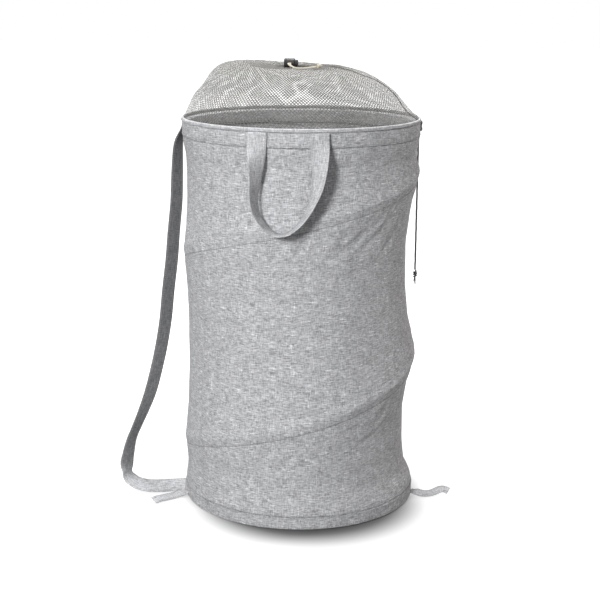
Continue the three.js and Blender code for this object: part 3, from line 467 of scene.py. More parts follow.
def stitches(name, lines, body, collapse=None):
    """One piece with every stitch of the given lines, each a (path, normals) pair."""
    points = np.concatenate([stitch_points(*line) for line in lines])
    faces = [tuple(k * STITCH_POINTS + i for i in face) for k in range(len(points)) for face in STITCH_FACES]
    dress(new_piece(name, points.reshape(-1, 3), faces), THREAD, body, "heather_cloth", collapse=collapse)


def strip_lines(centres, across, width, thickness, inset):
    """Stitch lines along both edges of a strip, on both faces."""
    first, up = strip_frame(centres, across)
    share = 1 - 2 * inset / width
    lift = strip_section(share) * thickness / 2
    run = arc_lengths(centres)
    kept = (run > STITCH_ENDS) & (run < run[-1] - STITCH_ENDS)
    return [((centres + first * width / 2 * share * edge + up * lift * face)[kept], (up * face)[kept])
            for edge in (-1, 1) for face in (-1, 1)]


class Value:
    """An output of a shader's node, for sums in plain signs."""

    def __init__(self, shader, socket):
        self.shader, self.socket = shader, socket

    def __add__(self, other):
        return self.shader.math("ADD", self, other)

    def __sub__(self, other):
        return self.shader.math("SUBTRACT", self, other)

    def __rsub__(self, other):
        return self.shader.math("SUBTRACT", other, self)

    def __mul__(self, other):
        return self.shader.math("MULTIPLY", self, other)

    def __abs__(self):
        return self.shader.math("ABSOLUTE", self)


class Shader:
    """Builds the node tree of a material or a world. Inputs may be numbers, tuples or Values."""

    def __init__(self, owner):
        owner.use_nodes = True
        self.owner, self.tree = owner, owner.node_tree

    def put(self, socket, value):
        if isinstance(value, Value):
            self.tree.links.new(value.socket, socket)
        elif value is not None:
            socket.default_value = value

    def node(self, kind, *inputs, out=0, **settings):
        """An output of a new node. Inputs fill its first sockets; a setting with a capital names a socket."""
        made = self.tree.nodes.new("ShaderNode" + kind)
        for key, value in settings.items():
            if key[0].isupper():
                self.put(made.inputs[key.replace("_", " ")], value)
            else:
                setattr(made, key, value)
        for socket, value in zip(made.inputs, inputs):
            self.put(socket, value)
        return Value(self, made.outputs[out])

    def math(self, operation, a, b=0.0):
        return self.node("Math", a, b, operation=operation)

    def remap(self, value, low, high, to_low=0.0, to_high=1.0):
        return self.node("MapRange", value, low, high, to_low, to_high, interpolation_type="SMOOTHSTEP")

    def mix(self, share, a, b):
        return self.node("Mix", share, *[None] * 5, a, b, out=2, data_type="RGBA")

    def scaled(self, vector, x, y, z=1.0):
        return self.node("VectorMath", vector, (x, y, z), operation="MULTIPLY")

    def noise(self, vector, scale, detail, rough):
        return self.node("TexNoise", Vector=vector, Scale=scale, Detail=detail, Roughness=rough)

    def bump(self, height, distance, normal=None, strength=1.0):
        return self.node("Bump", Height=height, Distance=distance, Strength=strength, Normal=normal)

    def attribute(self, name):
        return self.node("Attribute", out=2, attribute_name=name)

    def place(self):
        return self.node("TexCoord", out="Object")

    def background_share(self):
        """1 where a ray sees the background straight on or in a reflection or through glass."""
        straight, mirrored, through = (self.node("LightPath", out=f"Is {kind} Ray")
                                       for kind in ("Camera", "Glossy", "Transmission"))
        return self.math("MAXIMUM", self.math("MAXIMUM", straight, mirrored), through)

    def done(self, colour, roughness, normal, sheen=0.0, metallic=0.0, specular=0.5):
        inputs = self.tree.nodes["Principled BSDF"].inputs
        for name, value in (("Base Color", colour), ("Roughness", roughness), ("Normal", normal),
                            ("Sheen Weight", sheen), ("Sheen Roughness", 0.5), ("Metallic", metallic),
                            ("Specular IOR Level", specular)):
            self.put(inputs[name], value)
        return self.owner


def material(name):
    return Shader(bpy.data.materials.new(name))


YARN_PITCH = 0.0009
CLOTH_TINT = (0.985, 0.992, 1.022)
# Slubs along the weft (0) or warp (1): seed, stretch, the noise where one starts and is full, change of tone
SLUBS = (
    (0, 13.0, 0.03, 0.575, 0.64, 0.4), (1, 17.0, 0.02, 0.59, 0.65, 0.32),
    (0, 23.0, 0.035, 0.585, 0.66, -0.34))


def heather_cloth(name, level, contrast=1.0, painted_shade_back=0.0, seam_lines_painted_light=False, hem_line_painted_shade=False):
    """Plain weave of melange yarn: light and dark flecks along each thread, with a few slubs. The thread over
    and the thread under alternate. With a share for the back face, that face gets painted shade, its tone cut to that
    share."""
    s = material(name)
    uv = s.node("UVMap", uv_map="cloth")
    sway = s.scaled(s.node("TexNoise", out=1, Vector=uv, Scale=26.0, Detail=1.0), 0.0016, 0.0016, 0)
    threads = s.scaled(s.node("VectorMath", uv, sway, operation="ADD"), 1 / YARN_PITCH, 1 / YARN_PITCH, 0)
    across, upwards = (s.node("SeparateXYZ", threads, out=k) for k in (0, 1))
    row, column = s.math("FLOOR", upwards), s.math("FLOOR", across)
    ways = ((across, row), (upwards, column))

    def yarn(way, seed, stretch, apart_by):
        """Tone along each thread, unlike its neighbours' tones."""
        along, index = ways[way]
        return s.noise(s.node("CombineXYZ", along * stretch, index * apart_by, seed), 1.0, 2.0, 0.6)

    weft, warp = yarn(0, 0.0, 0.08, 0.85), yarn(1, 7.0, 0.09, 0.85)
    warp_over = s.math("PINGPONG", column + row, 1.0) * 0.5 + 0.16
    patch = s.noise(s.scaled(uv, 30, 75), 1.0, 3, 0.55)
    tone = weft * (1.0 - warp_over) + warp * warp_over + (patch - 0.5) * 0.12
    shade = s.remap(tone, 0.38, 0.62, 1 - 0.42 * contrast, 1 + 0.36 * contrast)
    for way, seed, stretch, start, full, change in SLUBS:
        shade = shade * (s.remap(yarn(way, seed, stretch, 1.0), start, full) * (change * contrast) + 1.0)
    crown = s.math("SINE", across * pi) * s.math("SINE", upwards * pi)
    normal = s.bump(abs(crown) + tone * 0.8, 0.00022, strength=0.8)
    # Stitch lines of the spiral channel: a groove bump, with painted highlight along the upper line and painted shade
    # along the lower one
    if seam_lines_painted_light:
        coil = s.attribute("coil")
        line = abs(abs(coil) - CHANNEL_WIDTH / 2 * MM)
        normal = s.bump(s.remap(line, 0.0, 0.0022), 0.0005, normal, 0.8)
        shade = shade * s.remap(line, 0.0002, 0.0015, s.remap(coil, -0.001, 0.001, 0.68, 1.28), 1.0)
    # The hem's edge: a groove bump and a line of painted shade, broken up along its length
    if hem_line_painted_shade:
        away = abs(s.attribute("above_hem"))
        drawn = s.remap(s.noise(s.scaled(uv, 160, 5), 1.0, 2, 0.6), 0.35, 0.65, 0.56, 0.92)
        shade = shade * s.remap(away, 0.0004, 0.0018, drawn, 1.0)
        normal = s.bump(s.remap(away, 0.0, 0.0016), 0.0004, normal, 0.8)
    # Painted shade: a strip's back face is darkened by its attribute inner, standing in for the shade that falls on it
    if painted_shade_back:
        shade = shade * s.remap(s.attribute("inner"), 0.0, 1.0, 1.0, painted_shade_back)
    colour = s.node("VectorMath", tuple(level * c for c in CLOTH_TINT), operation="SCALE", Scale=shade)
    return s.done(colour, s.remap(tone, 0.3, 0.7, 0.84, 0.96), normal, sheen=0.12, specular=0.2)


def cord_cloth(name, colour, dark, pitch=0.0012):
    """Braided cord: fine slanting strands with a bump, painted light on their crowns and painted shade between them."""
    s = material(name)
    uv = s.node("UVMap", uv_map="cloth")
    slant = s.node("Mapping", Vector=uv, Rotation=(0, 0, radians(38)))
    strand = s.node("TexWave", out=1, bands_direction="X", Vector=slant, Scale=0.314 / pitch, Distortion=0.4,
                    Detail_Scale=2.0)
    fuzz = s.noise(uv, 900.0, 3, 0.6)
    # Painted shade between the strands and painted light on their crowns
    tone = s.mix(fuzz * 0.3, s.mix(strand * 0.8, dark, colour), dark)
    return s.done(tone, 0.85, s.bump(strand + fuzz * 0.4, 0.00025), sheen=0.2, specular=0.25)


def net_yarn(name, colour, dark):
    """Matt net yarn: filaments catch a little light, and the tone drifts over the net."""
    s = material(name)
    drift, filament = s.noise(s.place(), 22.0, 3, 0.6), s.noise(s.place(), 2600.0, 3, 0.65)
    tone = s.remap(drift, 0.3, 0.7) * 0.45 + s.remap(filament, 0.3, 0.7) * 0.55
    return s.done(s.mix(tone, dark, colour), s.remap(filament, 0.3, 0.7, 0.65, 0.9),
                  s.bump(filament, 0.00012, strength=0.7), sheen=0.08, specular=0.25)


def drawn_metal(name, colour, dark, smooth, rough, dents):
    """Bare metal with fine drawing marks, darker in its stains and dull where it is rough."""
    s = material(name)
    marks = s.noise(s.scaled(s.place(), 1.0, 1.0, 5.0), 1500.0, 3, 0.7)
    stain = s.noise(s.place(), 70.0, 4, 0.6)
    tone = s.remap(marks * 0.4 + stain * 0.6, 0.35, 0.62)
    return s.done(s.mix(tone, dark, colour), s.remap(marks, 0.3, 0.7, smooth, rough),
                  s.bump(marks + stain * 0.5, dents), metallic=1.0)


def moulded_plastic(name, colour, worn):
    """Black moulded plastic with a fine grain, a little polished and greyer in patches by handling."""
    s = material(name)
    handled = s.remap(s.noise(s.place(), 240.0, 3, 0.6), 0.45, 0.7)
    grain = s.bump(s.noise(s.place(), 3200.0, 2, 0.6), 0.00003, strength=0.8)
    return s.done(s.mix(handled, colour, worn), s.remap(handled, 0.0, 1.0, 0.6, 0.46), grain, specular=0.35)


CLOTH_LEVEL = 0.5
TRIM_LEVEL = CLOTH_LEVEL * 1.05
# Share of tone left on the strap's back face under its painted shade
STRAP_BACK_PAINTED_SHADE = 0.42
NET = net_yarn("net", (0.215, 0.21, 0.196, 1), (0.115, 0.112, 0.103, 1))
NET_HEM = cord_cloth("net_hem", (0.22, 0.213, 0.2, 1), (0.07, 0.068, 0.063, 1), 0.0022)
CREAM = cord_cloth("cream_cord", (0.8, 0.75, 0.63, 1), (0.5, 0.45, 0.35, 1))
STEEL = drawn_metal("spring_steel", (0.56, 0.56, 0.57, 1), (0.36, 0.355, 0.35, 1), 0.24, 0.42, 0.00002)
ZINC = drawn_metal("ferrule_zinc", (0.64, 0.645, 0.65, 1), (0.46, 0.46, 0.455, 1), 0.3, 0.58, 0.00006)
PLASTIC = moulded_plastic("black_plastic", (0.018, 0.018, 0.019, 1), (0.032, 0.032, 0.033, 1))
DARK_CORD = cord_cloth("dark_cord", (0.26, 0.255, 0.25, 1), (0.09, 0.09, 0.09, 1))
HEATHER = heather_cloth("heather_cloth", CLOTH_LEVEL, seam_lines_painted_light=True, hem_line_painted_shade=True)
HEATHER_HEM = heather_cloth("heather_hem", CLOTH_LEVEL, hem_line_painted_shade=True)
HEATHER_TRIM = heather_cloth("heather_trim", CLOTH_LEVEL)
HEATHER_LIGHT = heather_cloth("heather_light", TRIM_LEVEL, contrast=0.8)
HEATHER_STRAP_PAINTED_SHADE = heather_cloth("heather_strap", TRIM_LEVEL, contrast=0.8, painted_shade_back=STRAP_BACK_PAINTED_SHADE)
LINING = heather_cloth("lining_cloth", CLOTH_LEVEL * 0.8, contrast=0.5)
THREAD = cord_cloth("sewing_thread", (0.64, 0.64, 0.65, 1), (0.36, 0.36, 0.37, 1), 0.0004)


def travel(joint_name):
    """How far a sliding joint goes from rest, in mm."""
    ranges = next(joint["range_m"] for joint in frame["joints"] if joint["name"] == joint_name)
    return max(map(abs, ranges)) / MM


# How soft pieces flatten as the rim comes down: the height that they flatten towards, and the share left
RIM_DROP = travel("collapse")
STRAP_COLLAPSE = (0, 1 - RIM_DROP / RIM_CASING_TOP)
WALL_COLLAPSE = (0, (RIM_HEM_EDGE - RIM_DROP - 1.2) / RIM_CASING_TOP)
HANDLE_COLLAPSE = (RIM_CASING_TOP, 0.32)
COLLAPSING = []


def dress(piece, coating, body, slot, cad=None, collapse=None):
    """Gives a piece its material, its body, its slot, the node that it stands for and its way to flatten."""
    piece.data.materials.clear()
    piece.data.materials.append(coating)
    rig.ride(piece, body)
    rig.slot(piece, slot)
    if cad:
        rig.replaces(piece, cad)
    if collapse:
        COLLAPSING.append((piece, *collapse))
    return piece


def sewn_strip(name, stitched, centres, across, width, thickness, coating, body, cad=None, collapse=None,
               inset=STITCH_INSET, **shape):
    """A strip of cloth, its sizes in mm, with stitches along its edges."""
    size = (width * MM, thickness * MM)
    piece = dress(strip(name, centres, across, *size, **shape), coating, body, "heather_cloth", cad, collapse)
    stitches(stitched, strip_lines(centres, across, *size, inset), body, collapse)
    return piece


WALL_COLUMNS = 384
WALL_ROWS = 196
WALL_INNER_ROWS = 14
WALL_INNER_EASE = 1.5
BACK = pi / 2
BACK_SEAM_WIDTH = 9
BACK_SEAM_FOLD = 1.1
BACK_SEAM_INSET = 0.0018
HEM_STITCH_SHARE = 0.86
HEM_COLUMNS = 256
BINDING_COLUMNS = 320
BINDING_CLOTH = 3.8
SPIRAL_POINTS = 900
TAPE_POINTS = 17
TAPE_GAP = 0.6
TAPE_HUG = 0.22
TAPE_CLOTH = 0.8
# Drawn folds at the front right: angle, height, half length, slope, half width and depth
DRAWN_FOLDS = (
    (-58, 436, 44, 33, 5, -1.9), (-55, 452, 40, 30, 6, 1.4), (-44, 446, 38, 38, 5, -2.0),
    (-40, 463, 34, 34, 6, 1.5), (-33, 430, 30, 42, 5, -1.5), (-47, 128, 40, 24, 5, -1.3),
    (-43, 144, 36, 24, 6, 1.0), (-75, 470, 40, 20, 5, -0.8))


def spiral_height(step):
    """Height in mm of the spiral wire at a step, also between whole steps."""
    run = SPIRAL_STEPS - 2 * SPIRAL_LEAD_STEPS
    down = np.clip((SPIRAL_STEPS - SPIRAL_LEAD_STEPS - step) / run, 0, 1)
    late = down - SPIRAL_LAG_SHARE * np.sin(pi * down) * down
    return lerp(SPIRAL_TOP, SPIRAL_BOTTOM, lerp(ease(late), late, SPIRAL_STEADY_SHARE))


def free_share(height):
    """0 inside either hem and 1 where the cloth hangs free."""
    return ease((height - BASE_HEM) / HEM_BLEND) * ease((RIM_HEM_EDGE - height) / HEM_BLEND)


def spiral_radius(height):
    return RING_RADIUS + SPIRAL_BULGE * free_share(height)


def ridge_radius(height):
    over_wire = spiral_radius(height) + WIRE_DIAMETER / 2 + SEAM_GAP + PANEL_CLOTH
    return lerp(WALL_END_RADIUS, over_wire, free_share(height))


def coil_levels(angle):
    """Heights of every turn above each angle, lowest first, with the wall's two edges round them."""
    step = (angle % TURN) / COLUMN_ANGLE
    low, middle, high = (spiral_height(step + COLUMNS * turn) for turn in range(3))
    high = np.where(step + 2 * COLUMNS > SPIRAL_STEPS, WALL_TOP, high)
    return np.stack(np.broadcast_arrays(WALL_BOTTOM, low, middle, high, WALL_TOP), -1)


def slack_share(share):
    """Smoothed depth of the cloth between two turns, 0 at each and 1 at the deepest."""
    fine = np.linspace(0, 1, 201)
    raw = np.interp(fine, *np.transpose(WALL_ROWS_SHARES))
    kernel = np.hanning(23)
    padded = np.concatenate([-raw[1:24][::-1], raw, -raw[-24:-1][::-1]])
    return np.interp(share, fine, np.convolve(padded, kernel / kernel.sum(), "same")[23:-23])


def wall_radius(angle, height):
    """Outer radius of the wall's plain form, and the height above or below the nearest turn, in mm."""
    levels = coil_levels(angle)
    radius = np.full_like(height, WALL_END_RADIUS)
    depth = lerp(SLACK_LEFT, SLACK_RIGHT, (1 + np.cos(angle)) / 2)
    for k in range(levels.shape[-1] - 1):
        low, high = levels[..., k], levels[..., k + 1]
        inside = (height >= low) & (height <= high) & (high - low > 1e-6)
        share = np.clip((height - low) / np.maximum(high - low, 1e-6), 0, 1)
        taut = lerp(ridge_radius(low), ridge_radius(high), share)
        sag = depth * slack_share(share) * np.clip((high - low) / (FULL_SPAN_SHARE * BODY_HEIGHT), 0, 1)
        radius = np.where(inside, taut - sag * free_share(height), radius)
    away = height[..., None] - levels[..., 1:-1]
    return radius, np.take_along_axis(away, np.abs(away).argmin(-1)[..., None], -1)[..., 0]


def slanted(around, height, degrees):
    """Distances along and across a slope, of places on the unrolled wall."""
    lean = radians(degrees)
    return (around * cos(lean) + height * sin(lean), height * cos(lean) - around * sin(lean))


def drawn_folds(angle, height):
    """Folds that the turns draw into the slack cloth at the front right, in mm."""
    made = np.zeros_like(height)
    for middle, level, half_length, slope, half_width, depth in DRAWN_FOLDS:
        around = (angle - radians(middle) + pi) % TURN - pi
        along, aside = slanted(around * BODY_RADIUS, height - level, slope)
        made += depth * np.exp(-(along / half_length) ** 2 - (aside / half_width) ** 2)
    return made


def wall_folds(angle, height, radius, nearest):
    """Soft buckles of the loose cloth, in mm: broad waves, slanting folds under the turns and hem puckers."""
    points = polar(radius, angle, height) * MM
    broad = smooth_noise(points * (1, 1, 0.7), 0.075, 1)
    fine = smooth_noise(points * (1, 1, 1.4), 0.022, 2)
    along, aside = slanted(((angle - BACK) % TURN) * BODY_RADIUS, height, 52)
    ridges = smooth_noise(np.stack([along / 95, aside / 17, 0 * along], -1), 1.0, 3)
    below = ease((-nearest - 8) / 14) * ease((78 + nearest) / 45)
    above = ease((nearest - 8) / 14) * ease((50 - nearest) / 30)
    front = np.cos(angle + radians(38))
    slant = ridges * (below + 0.45 * above) * ease((front + 0.15) / 0.7)
    beside_seam = np.exp(-((np.abs(nearest) - 12.5) / 5.0) ** 2)
    folds = 0.9 * broad + 0.22 * fine + 2.6 * slant - 0.5 * beside_seam + drawn_folds(angle, height)
    return free_share(height) * folds


def wall_surface(angle, height):
    """Points in metres on the wall's outer face."""
    radius, nearest = wall_radius(angle, height)
    return polar(radius + wall_folds(angle, height, radius, nearest), angle, height) * MM


def make_wall():
    z = np.append(np.linspace(WALL_BOTTOM, WALL_TOP, WALL_ROWS),
                  np.linspace(WALL_TOP, WALL_BOTTOM, WALL_INNER_ROWS))
    heights = np.append(z, WALL_BOTTOM) * MM
    z, a = np.meshgrid(z, BACK + circle(WALL_COLUMNS), indexing="ij")
    r, nearest = wall_radius(a, z)
    outer, inner = slice(WALL_ROWS), slice(WALL_ROWS, None)
    r[outer] += wall_folds(a[outer], z[outer], r[outer], nearest[outer])
    r[inner] -= PANEL_CLOTH + WALL_INNER_EASE * free_share(z[inner])
    wall = ring_mesh("wall_cloth", r, a, z, BODY_RADIUS, heights)
    point_values(wall, "coil", nearest.T * MM)
    point_values(wall, "above_hem", np.where(z < BODY_HEIGHT / 2, z - BASE_HEM, RIM_HEM_EDGE - z).T * MM)
    dress(wall, HEATHER, "base", "heather_cloth", "wall_panel", WALL_COLLAPSE)


def make_spiral():
    """The spring wire in its channel: wire, tape and the two stitch lines that hold the tape."""
    step = np.linspace(0, SPIRAL_STEPS, SPIRAL_POINTS)
    height, angle = spiral_height(step), step * COLUMN_ANGLE
    line = polar(spiral_radius(height), angle, height) * MM
    wire = tube("spiral_spring_wire", line, WIRE_DIAMETER / 2 * MM, 10)
    dress(wire, STEEL, "base", "spring_steel", "spiral_wire", WALL_COLLAPSE)
    half = CHANNEL_WIDTH / 2
    held = (height > BASE_HEM + half) & (height < RIM_HEM_EDGE - half)
    height, angle, line = height[held], angle[held], line[held]
    share = np.linspace(-1, 1, TAPE_POINTS)
    behind = []
    for s in share:
        by_wall = wall_radius(angle, height + s * half)[0] - PANEL_CLOTH - 2 * SEAM_GAP - TAPE_GAP
        over_wire = np.minimum(spiral_radius(height) - WIRE_DIAMETER / 2 - SEAM_GAP, by_wall)
        behind.append(lerp(by_wall, over_wire, exp(-(s / TAPE_HUG) ** 2)))
    ring = np.stack(behind + [radius - TAPE_CLOTH for radius in behind[::-1]], 1)
    share = there_and_back(share)
    points = polar(ring, angle[:, None], height[:, None] + half * share) * MM
    run = np.append(share, share[0]) * half * MM
    tape = grid_mesh("spiral_channel_tape", points, False, True, arc_lengths(line), run)
    dress(tape, LINING, "base", "lining_cloth", "spiral_casing", WALL_COLLAPSE)
    lines = [(wall_surface(angle, height + side * half), polar(1, angle, 0)) for side in (-1, 1)]
    stitches("spiral_channel_stitches", lines, "base", WALL_COLLAPSE)


def make_back_seam():
    """The wall's closing seam at the back: a lapped fold with two stitch lines."""
    height = np.linspace(BASE_HEM + 0.5, RIM_HEM_EDGE - 0.5, 150)
    centre = wall_surface(np.full_like(height, BACK), height) + (0, BACK_SEAM_FOLD * 0.35 * MM, 0)
    across = np.tile((1.0, 0, 0), (len(height), 1))
    size = (BACK_SEAM_WIDTH * MM, BACK_SEAM_FOLD * MM)
    fold = strip("wall_back_seam", centre, across, *size, cross=8)
    dress(fold, HEATHER_TRIM, "base", "heather_cloth", collapse=WALL_COLLAPSE)
    lines = [line for line in strip_lines(centre, across, *size, BACK_SEAM_INSET) if line[1][0][1] > 0]
    stitches("wall_back_seam_stitches", lines, "base", WALL_COLLAPSE)


def make_base_cloth():
    """The round bottom: cloth that lies on the floor with slight ripples, drawn flat at its edge."""
    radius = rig.box("base_panel")[1][0] - 0.0003
    rings, columns = 44, 192
    share = there_and_back(np.linspace(0.002, 1, rings))[:, None]
    points = polar(radius * share, circle(columns), 0)
    ripple = 0.5 + 0.5 * smooth_noise(points, 0.05, 41)
    calm = ease((1 - share) / 0.15)
    top = np.arange(2 * rings)[:, None] < rings
    points[..., 2] = np.where(top, PANEL_CLOTH * MM + 0.0009 * ripple * calm, 0.0004 * ripple * calm)
    around = radius * np.append(circle(columns), TURN) / 2
    cloth = grid_mesh("base_cloth", points, False, True, share[:, 0] * radius, around)
    dress(cloth, LINING, "base", "heather_cloth", "base_panel")


def ring_line(radius, height):
    """A level ring in mm for a stitch line, with the way out of the drum at each point."""
    angle = np.linspace(0, TURN, 361)
    return polar(radius, angle, height) * MM, polar(1, angle, 0)


def make_hem_stitches():
    on_hem, on_binding = BODY_RADIUS + 0.05, BODY_RADIUS + BINDING_OVERHANG + 0.1
    stitches("base_hem_stitches", [ring_line(on_hem, HEM_STITCH_SHARE * BASE_HEM)], "base")
    stitches("rim_hem_stitches", [ring_line(on_hem, RIM_CASING_TOP - HEM_STITCH_SHARE * RIM_HEM),
                                  ring_line(on_binding, RIM_CASING_TOP + 1.7)], "rim")


def casing_profile(web, hem, side):
    """A hem's section in mm, round at its fold, from its outer edge over the ring to its inner edge.
    The hem stands on its web with side 1 and hangs from it with side -1."""
    fold = 2.2

    def corner(*degrees):
        return [(fold * (1 - sin(t)), fold * (1 - cos(t))) for t in np.radians(degrees)]

    outer = [(0.55, hem), (0.1, hem - 0.6), (0, hem - 1.6)]
    outer += [*((0, hem * share) for share in (0.8, 0.65, 0.5, 0.35)), *corner(80, 60, 40, 20), (fold, 0)]
    inner = [(fold, 0), *corner(30, 60, 90), (0, hem * 0.5), (0, hem)]
    lining = [(CASING_LEG_RADIUS, hem), (CASING_LEG_RADIUS, 1.6), (CASING_LEG_RADIUS + 0.8, 1),
              (BODY_RADIUS - 1.8, 1), (BODY_RADIUS - CASING_CLOTH, 1.6), (BODY_RADIUS - CASING_CLOTH, hem)]
    made = [(BODY_RADIUS - inwards, away) for inwards, away in outer]
    made += [(CASING_INNER_RADIUS + outwards, away) for outwards, away in inner]
    return np.array(made + lining) * (1, side) + (0, web)


def casing_folds(web, hem, side, seed):
    """Small puckers drawn in at the hem's stitch line, on its outer skin only."""

    def reshape(r, z, a):
        skin = r > BODY_RADIUS - 0.9
        depth = np.abs(z - web) / hem
        points = polar(BODY_RADIUS, a, z * 0.35) * MM
        broad = smooth_noise(points, 0.06, seed + 1)
        drawn = (0.22 * smooth_noise(points, 0.009, seed) * (0.4 + 0.6 * depth)
                 - 0.25 * np.exp(-((depth - HEM_STITCH_SHARE) / 0.09) ** 2) + 0.18 * broad)
        r = r + np.where(skin, np.clip(drawn, -0.5, 0.5), 0)
        z = z + np.where((np.abs(z - web) > hem - 1) & skin, side * 0.5 * broad, 0)
        return r, z

    return reshape


def make_hems():
    for body, seed, *lie in (("base", 11, 0, BASE_HEM, 1), ("rim", 13, RIM_CASING_TOP, RIM_HEM, -1)):
        piece = revolved(f"{body}_hem", casing_profile(*lie), HEM_COLUMNS, casing_folds(*lie, seed))
        dress(piece, HEATHER_HEM, body, "heather_cloth", f"{body}_casing")
        heights = np.array([v.co.z for v in piece.data.vertices])
        web, hem, side = lie
        point_values(piece, "above_hem", side * (heights - (web + side * hem) * MM))


def make_binding():
    low, top = RIM_CASING_TOP + SEAM_GAP, BODY_HEIGHT
    outside = BODY_RADIUS + BINDING_OVERHANG
    inside = outside - BINDING_CLOTH
    profile = [(outside - 1.1, low), (outside - 0.3, low + 0.35), (outside, low + 1.3), (outside, top - 1.9),
               (outside - 0.45, top - 0.7), (outside - 1.3, top - 0.1), (inside + 1.3, top - 0.1),
               (inside + 0.4, top - 0.7), (inside, top - 1.8), (inside, low + 0.3), (inside + 0.4, low)]

    def uneven(r, z, a):
        points = polar(BODY_RADIUS, a, z) * MM
        up = ease((z - low) / 2)
        return r + 0.22 * smooth_noise(points, 0.012, 21) * up, z + 0.25 * smooth_noise(points, 0.02, 22) * up

    binding = revolved("rim_edge_binding", profile, BINDING_COLUMNS, uneven)
    dress(binding, HEATHER_LIGHT, "rim", "heather_cloth", "rim_binding")


MESH_RISE = 75
MOUTH_RADIUS = 30
MOUTH = np.array((-11.0, -8.0))
MOUTH_HEIGHT = BODY_HEIGHT + MESH_RISE
NET_SKIRT_RADIUS = 180.9
NET_EDGE_RADIUS = 31.4
NET_SKIRT = 5
# The net's climb from rim to mouth: share of the way, and of the rise at the left and the right
DOME = spline(((0, 0, 0), (0.1, 0.38, 0.18), (0.22, 0.64, 0.49), (0.34, 0.91, 0.7), (0.48, 1.07, 0.86),
               (0.64, 1.08, 0.95), (0.82, 1.02, 1), (1, 1, 1)), 400).T
NET_START = -0.03
NET_AROUND = 192
NET_CELL_HEIGHT = 2.0
NET_STRAND = 1.0
NET_LINK_SHARE = 0.3
NET_CLOTH_SHARE = 0.5
NET_SEAM_ANGLE = radians(-8)
NET_SEAM_RADIUS = 0.0008


def net_point(angle, share):
    """A place on the net in mm: share 0 at the rim, 1 at the gathered mouth, below 0 down inside the rim."""
    t = np.clip(share, 0, 1)
    sides = lerp(np.interp(t, DOME[0], DOME[1]), np.interp(t, DOME[0], DOME[2]), (1 + np.cos(angle)) / 2)
    height = BODY_HEIGHT + MESH_RISE * sides + 0.8 * t
    points = polar(lerp(NET_SKIRT_RADIUS, NET_EDGE_RADIUS, t), angle, height)
    points[..., :2] += MOUTH * t[..., None]
    gather = ease((share - 0.45) / 0.5)
    pleat = np.sin(34 * angle + 5 * smooth_noise(polar(1, angle, 0), 0.35, 31))
    loose = 2.6 * smooth_noise(points * MM, 0.05, 32) + 1.0 * smooth_noise(points * MM, 0.018, 33)
    middle = ease(share / 0.15) * (1 - 0.6 * gather)
    push = 1.9 * gather * (1 - ease((share - 0.9) / 0.1) * 0.5) * pleat * t + middle * loose
    outwards = unit(points * (0.6, 0.6, 0) + (0, 0, 130.0))
    points = points + outwards * push[..., None]
    points[..., 2] += np.minimum(share, 0) * NET_SKIRT / -NET_START
    return points


def make_net():
    """Hexagonal net: a small triangle at each knot and a flat strand between two knots."""
    length = arc_lengths(net_point(np.full(60, 4.7), np.linspace(0, 1, 60)))[-1]
    rows = int(round(length / NET_CELL_HEIGHT))
    row = np.arange(rows)
    even = (row % 2 == 0)[:, None, None]
    step = (1.0 - NET_START) / (rows - 1)

    def knots(row, end):
        """The lower (-1) or upper (1) knots of rows of links."""
        angle = TURN * (np.arange(NET_AROUND) + 0.5 * (row % 2)[:, None]) / NET_AROUND
        at = NET_START + step * (row[:, None] + end * NET_LINK_SHARE / 2)
        return net_point(*np.broadcast_arrays(angle, at))

    def beside(ring, towards):
        """The neighbour half a cell to the left (-1) or right (1), in the row above or below."""
        return np.where(even == (towards < 0), np.roll(ring, -towards, 1), ring)

    def corners(centre, link, first, second):
        ways = [unit(p - centre) for p in (link, first, second)]
        size = np.minimum(NET_STRAND / 2 / sin(pi / 3), 0.32 * np.linalg.norm(first - second, axis=-1))
        return [centre + unit(a + b) * size[..., None] for a, b in zip(ways, ways[1:] + ways[:1])]

    low, high, below, above = knots(row, -1), knots(row, 1), knots(row - 1, 1), knots(row + 1, -1)
    points = np.stack(corners(low, high, beside(below, -1), beside(below, 1))
                      + corners(high, low, beside(above, 1), beside(above, -1)), 2).reshape(-1, 3) * MM
    ids = np.arange(rows * NET_AROUND).reshape(rows, NET_AROUND) * 6
    here, up = ids[:-1], ids[1:]
    right = np.where(even[:-1, :, 0], up, np.roll(up, -1, 1))
    left = np.where(even[:-1, :, 0], np.roll(up, 1, 1), up)
    faces = []
    for face in ((ids, ids + 1, ids + 2), (ids + 3, ids + 4, ids + 5), (ids, ids + 2, ids + 3, ids + 5),
                 (here + 3, here + 4, right, right + 1), (here + 4, here + 5, left + 1, left + 2)):
        faces += np.stack(face, -1).reshape(-1, len(face)).tolist()
    net = new_piece("net_cover", points, faces)
    dress(net, NET, "rim", "net", "mesh_cover")
    around, height = TURN * NET_SKIRT_RADIUS * MM, length * MM
    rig.sheet(net, flat=(around, height), held="gathered", rests_on=["rim_edge_binding"],
             area=NET_CLOTH_SHARE * around * height)


def make_net_seam():
    """The seam that closes the net, a narrow bound ridge from the rim to the mouth at the right."""
    share = np.linspace(0.0, 0.93, 120)
    line = spline(net_point(np.full_like(share, NET_SEAM_ANGLE), share) * MM, 240)
    seam = tube("net_cover_seam", line, NET_SEAM_RADIUS, 8, twist=260, strands=2, relief=0.00014)
    dress(seam, NET_HEM, "rim", "net")


def mouth_ring(turn, height):
    return polar(MOUTH_RADIUS, turn, height) + (*MOUTH, 0)


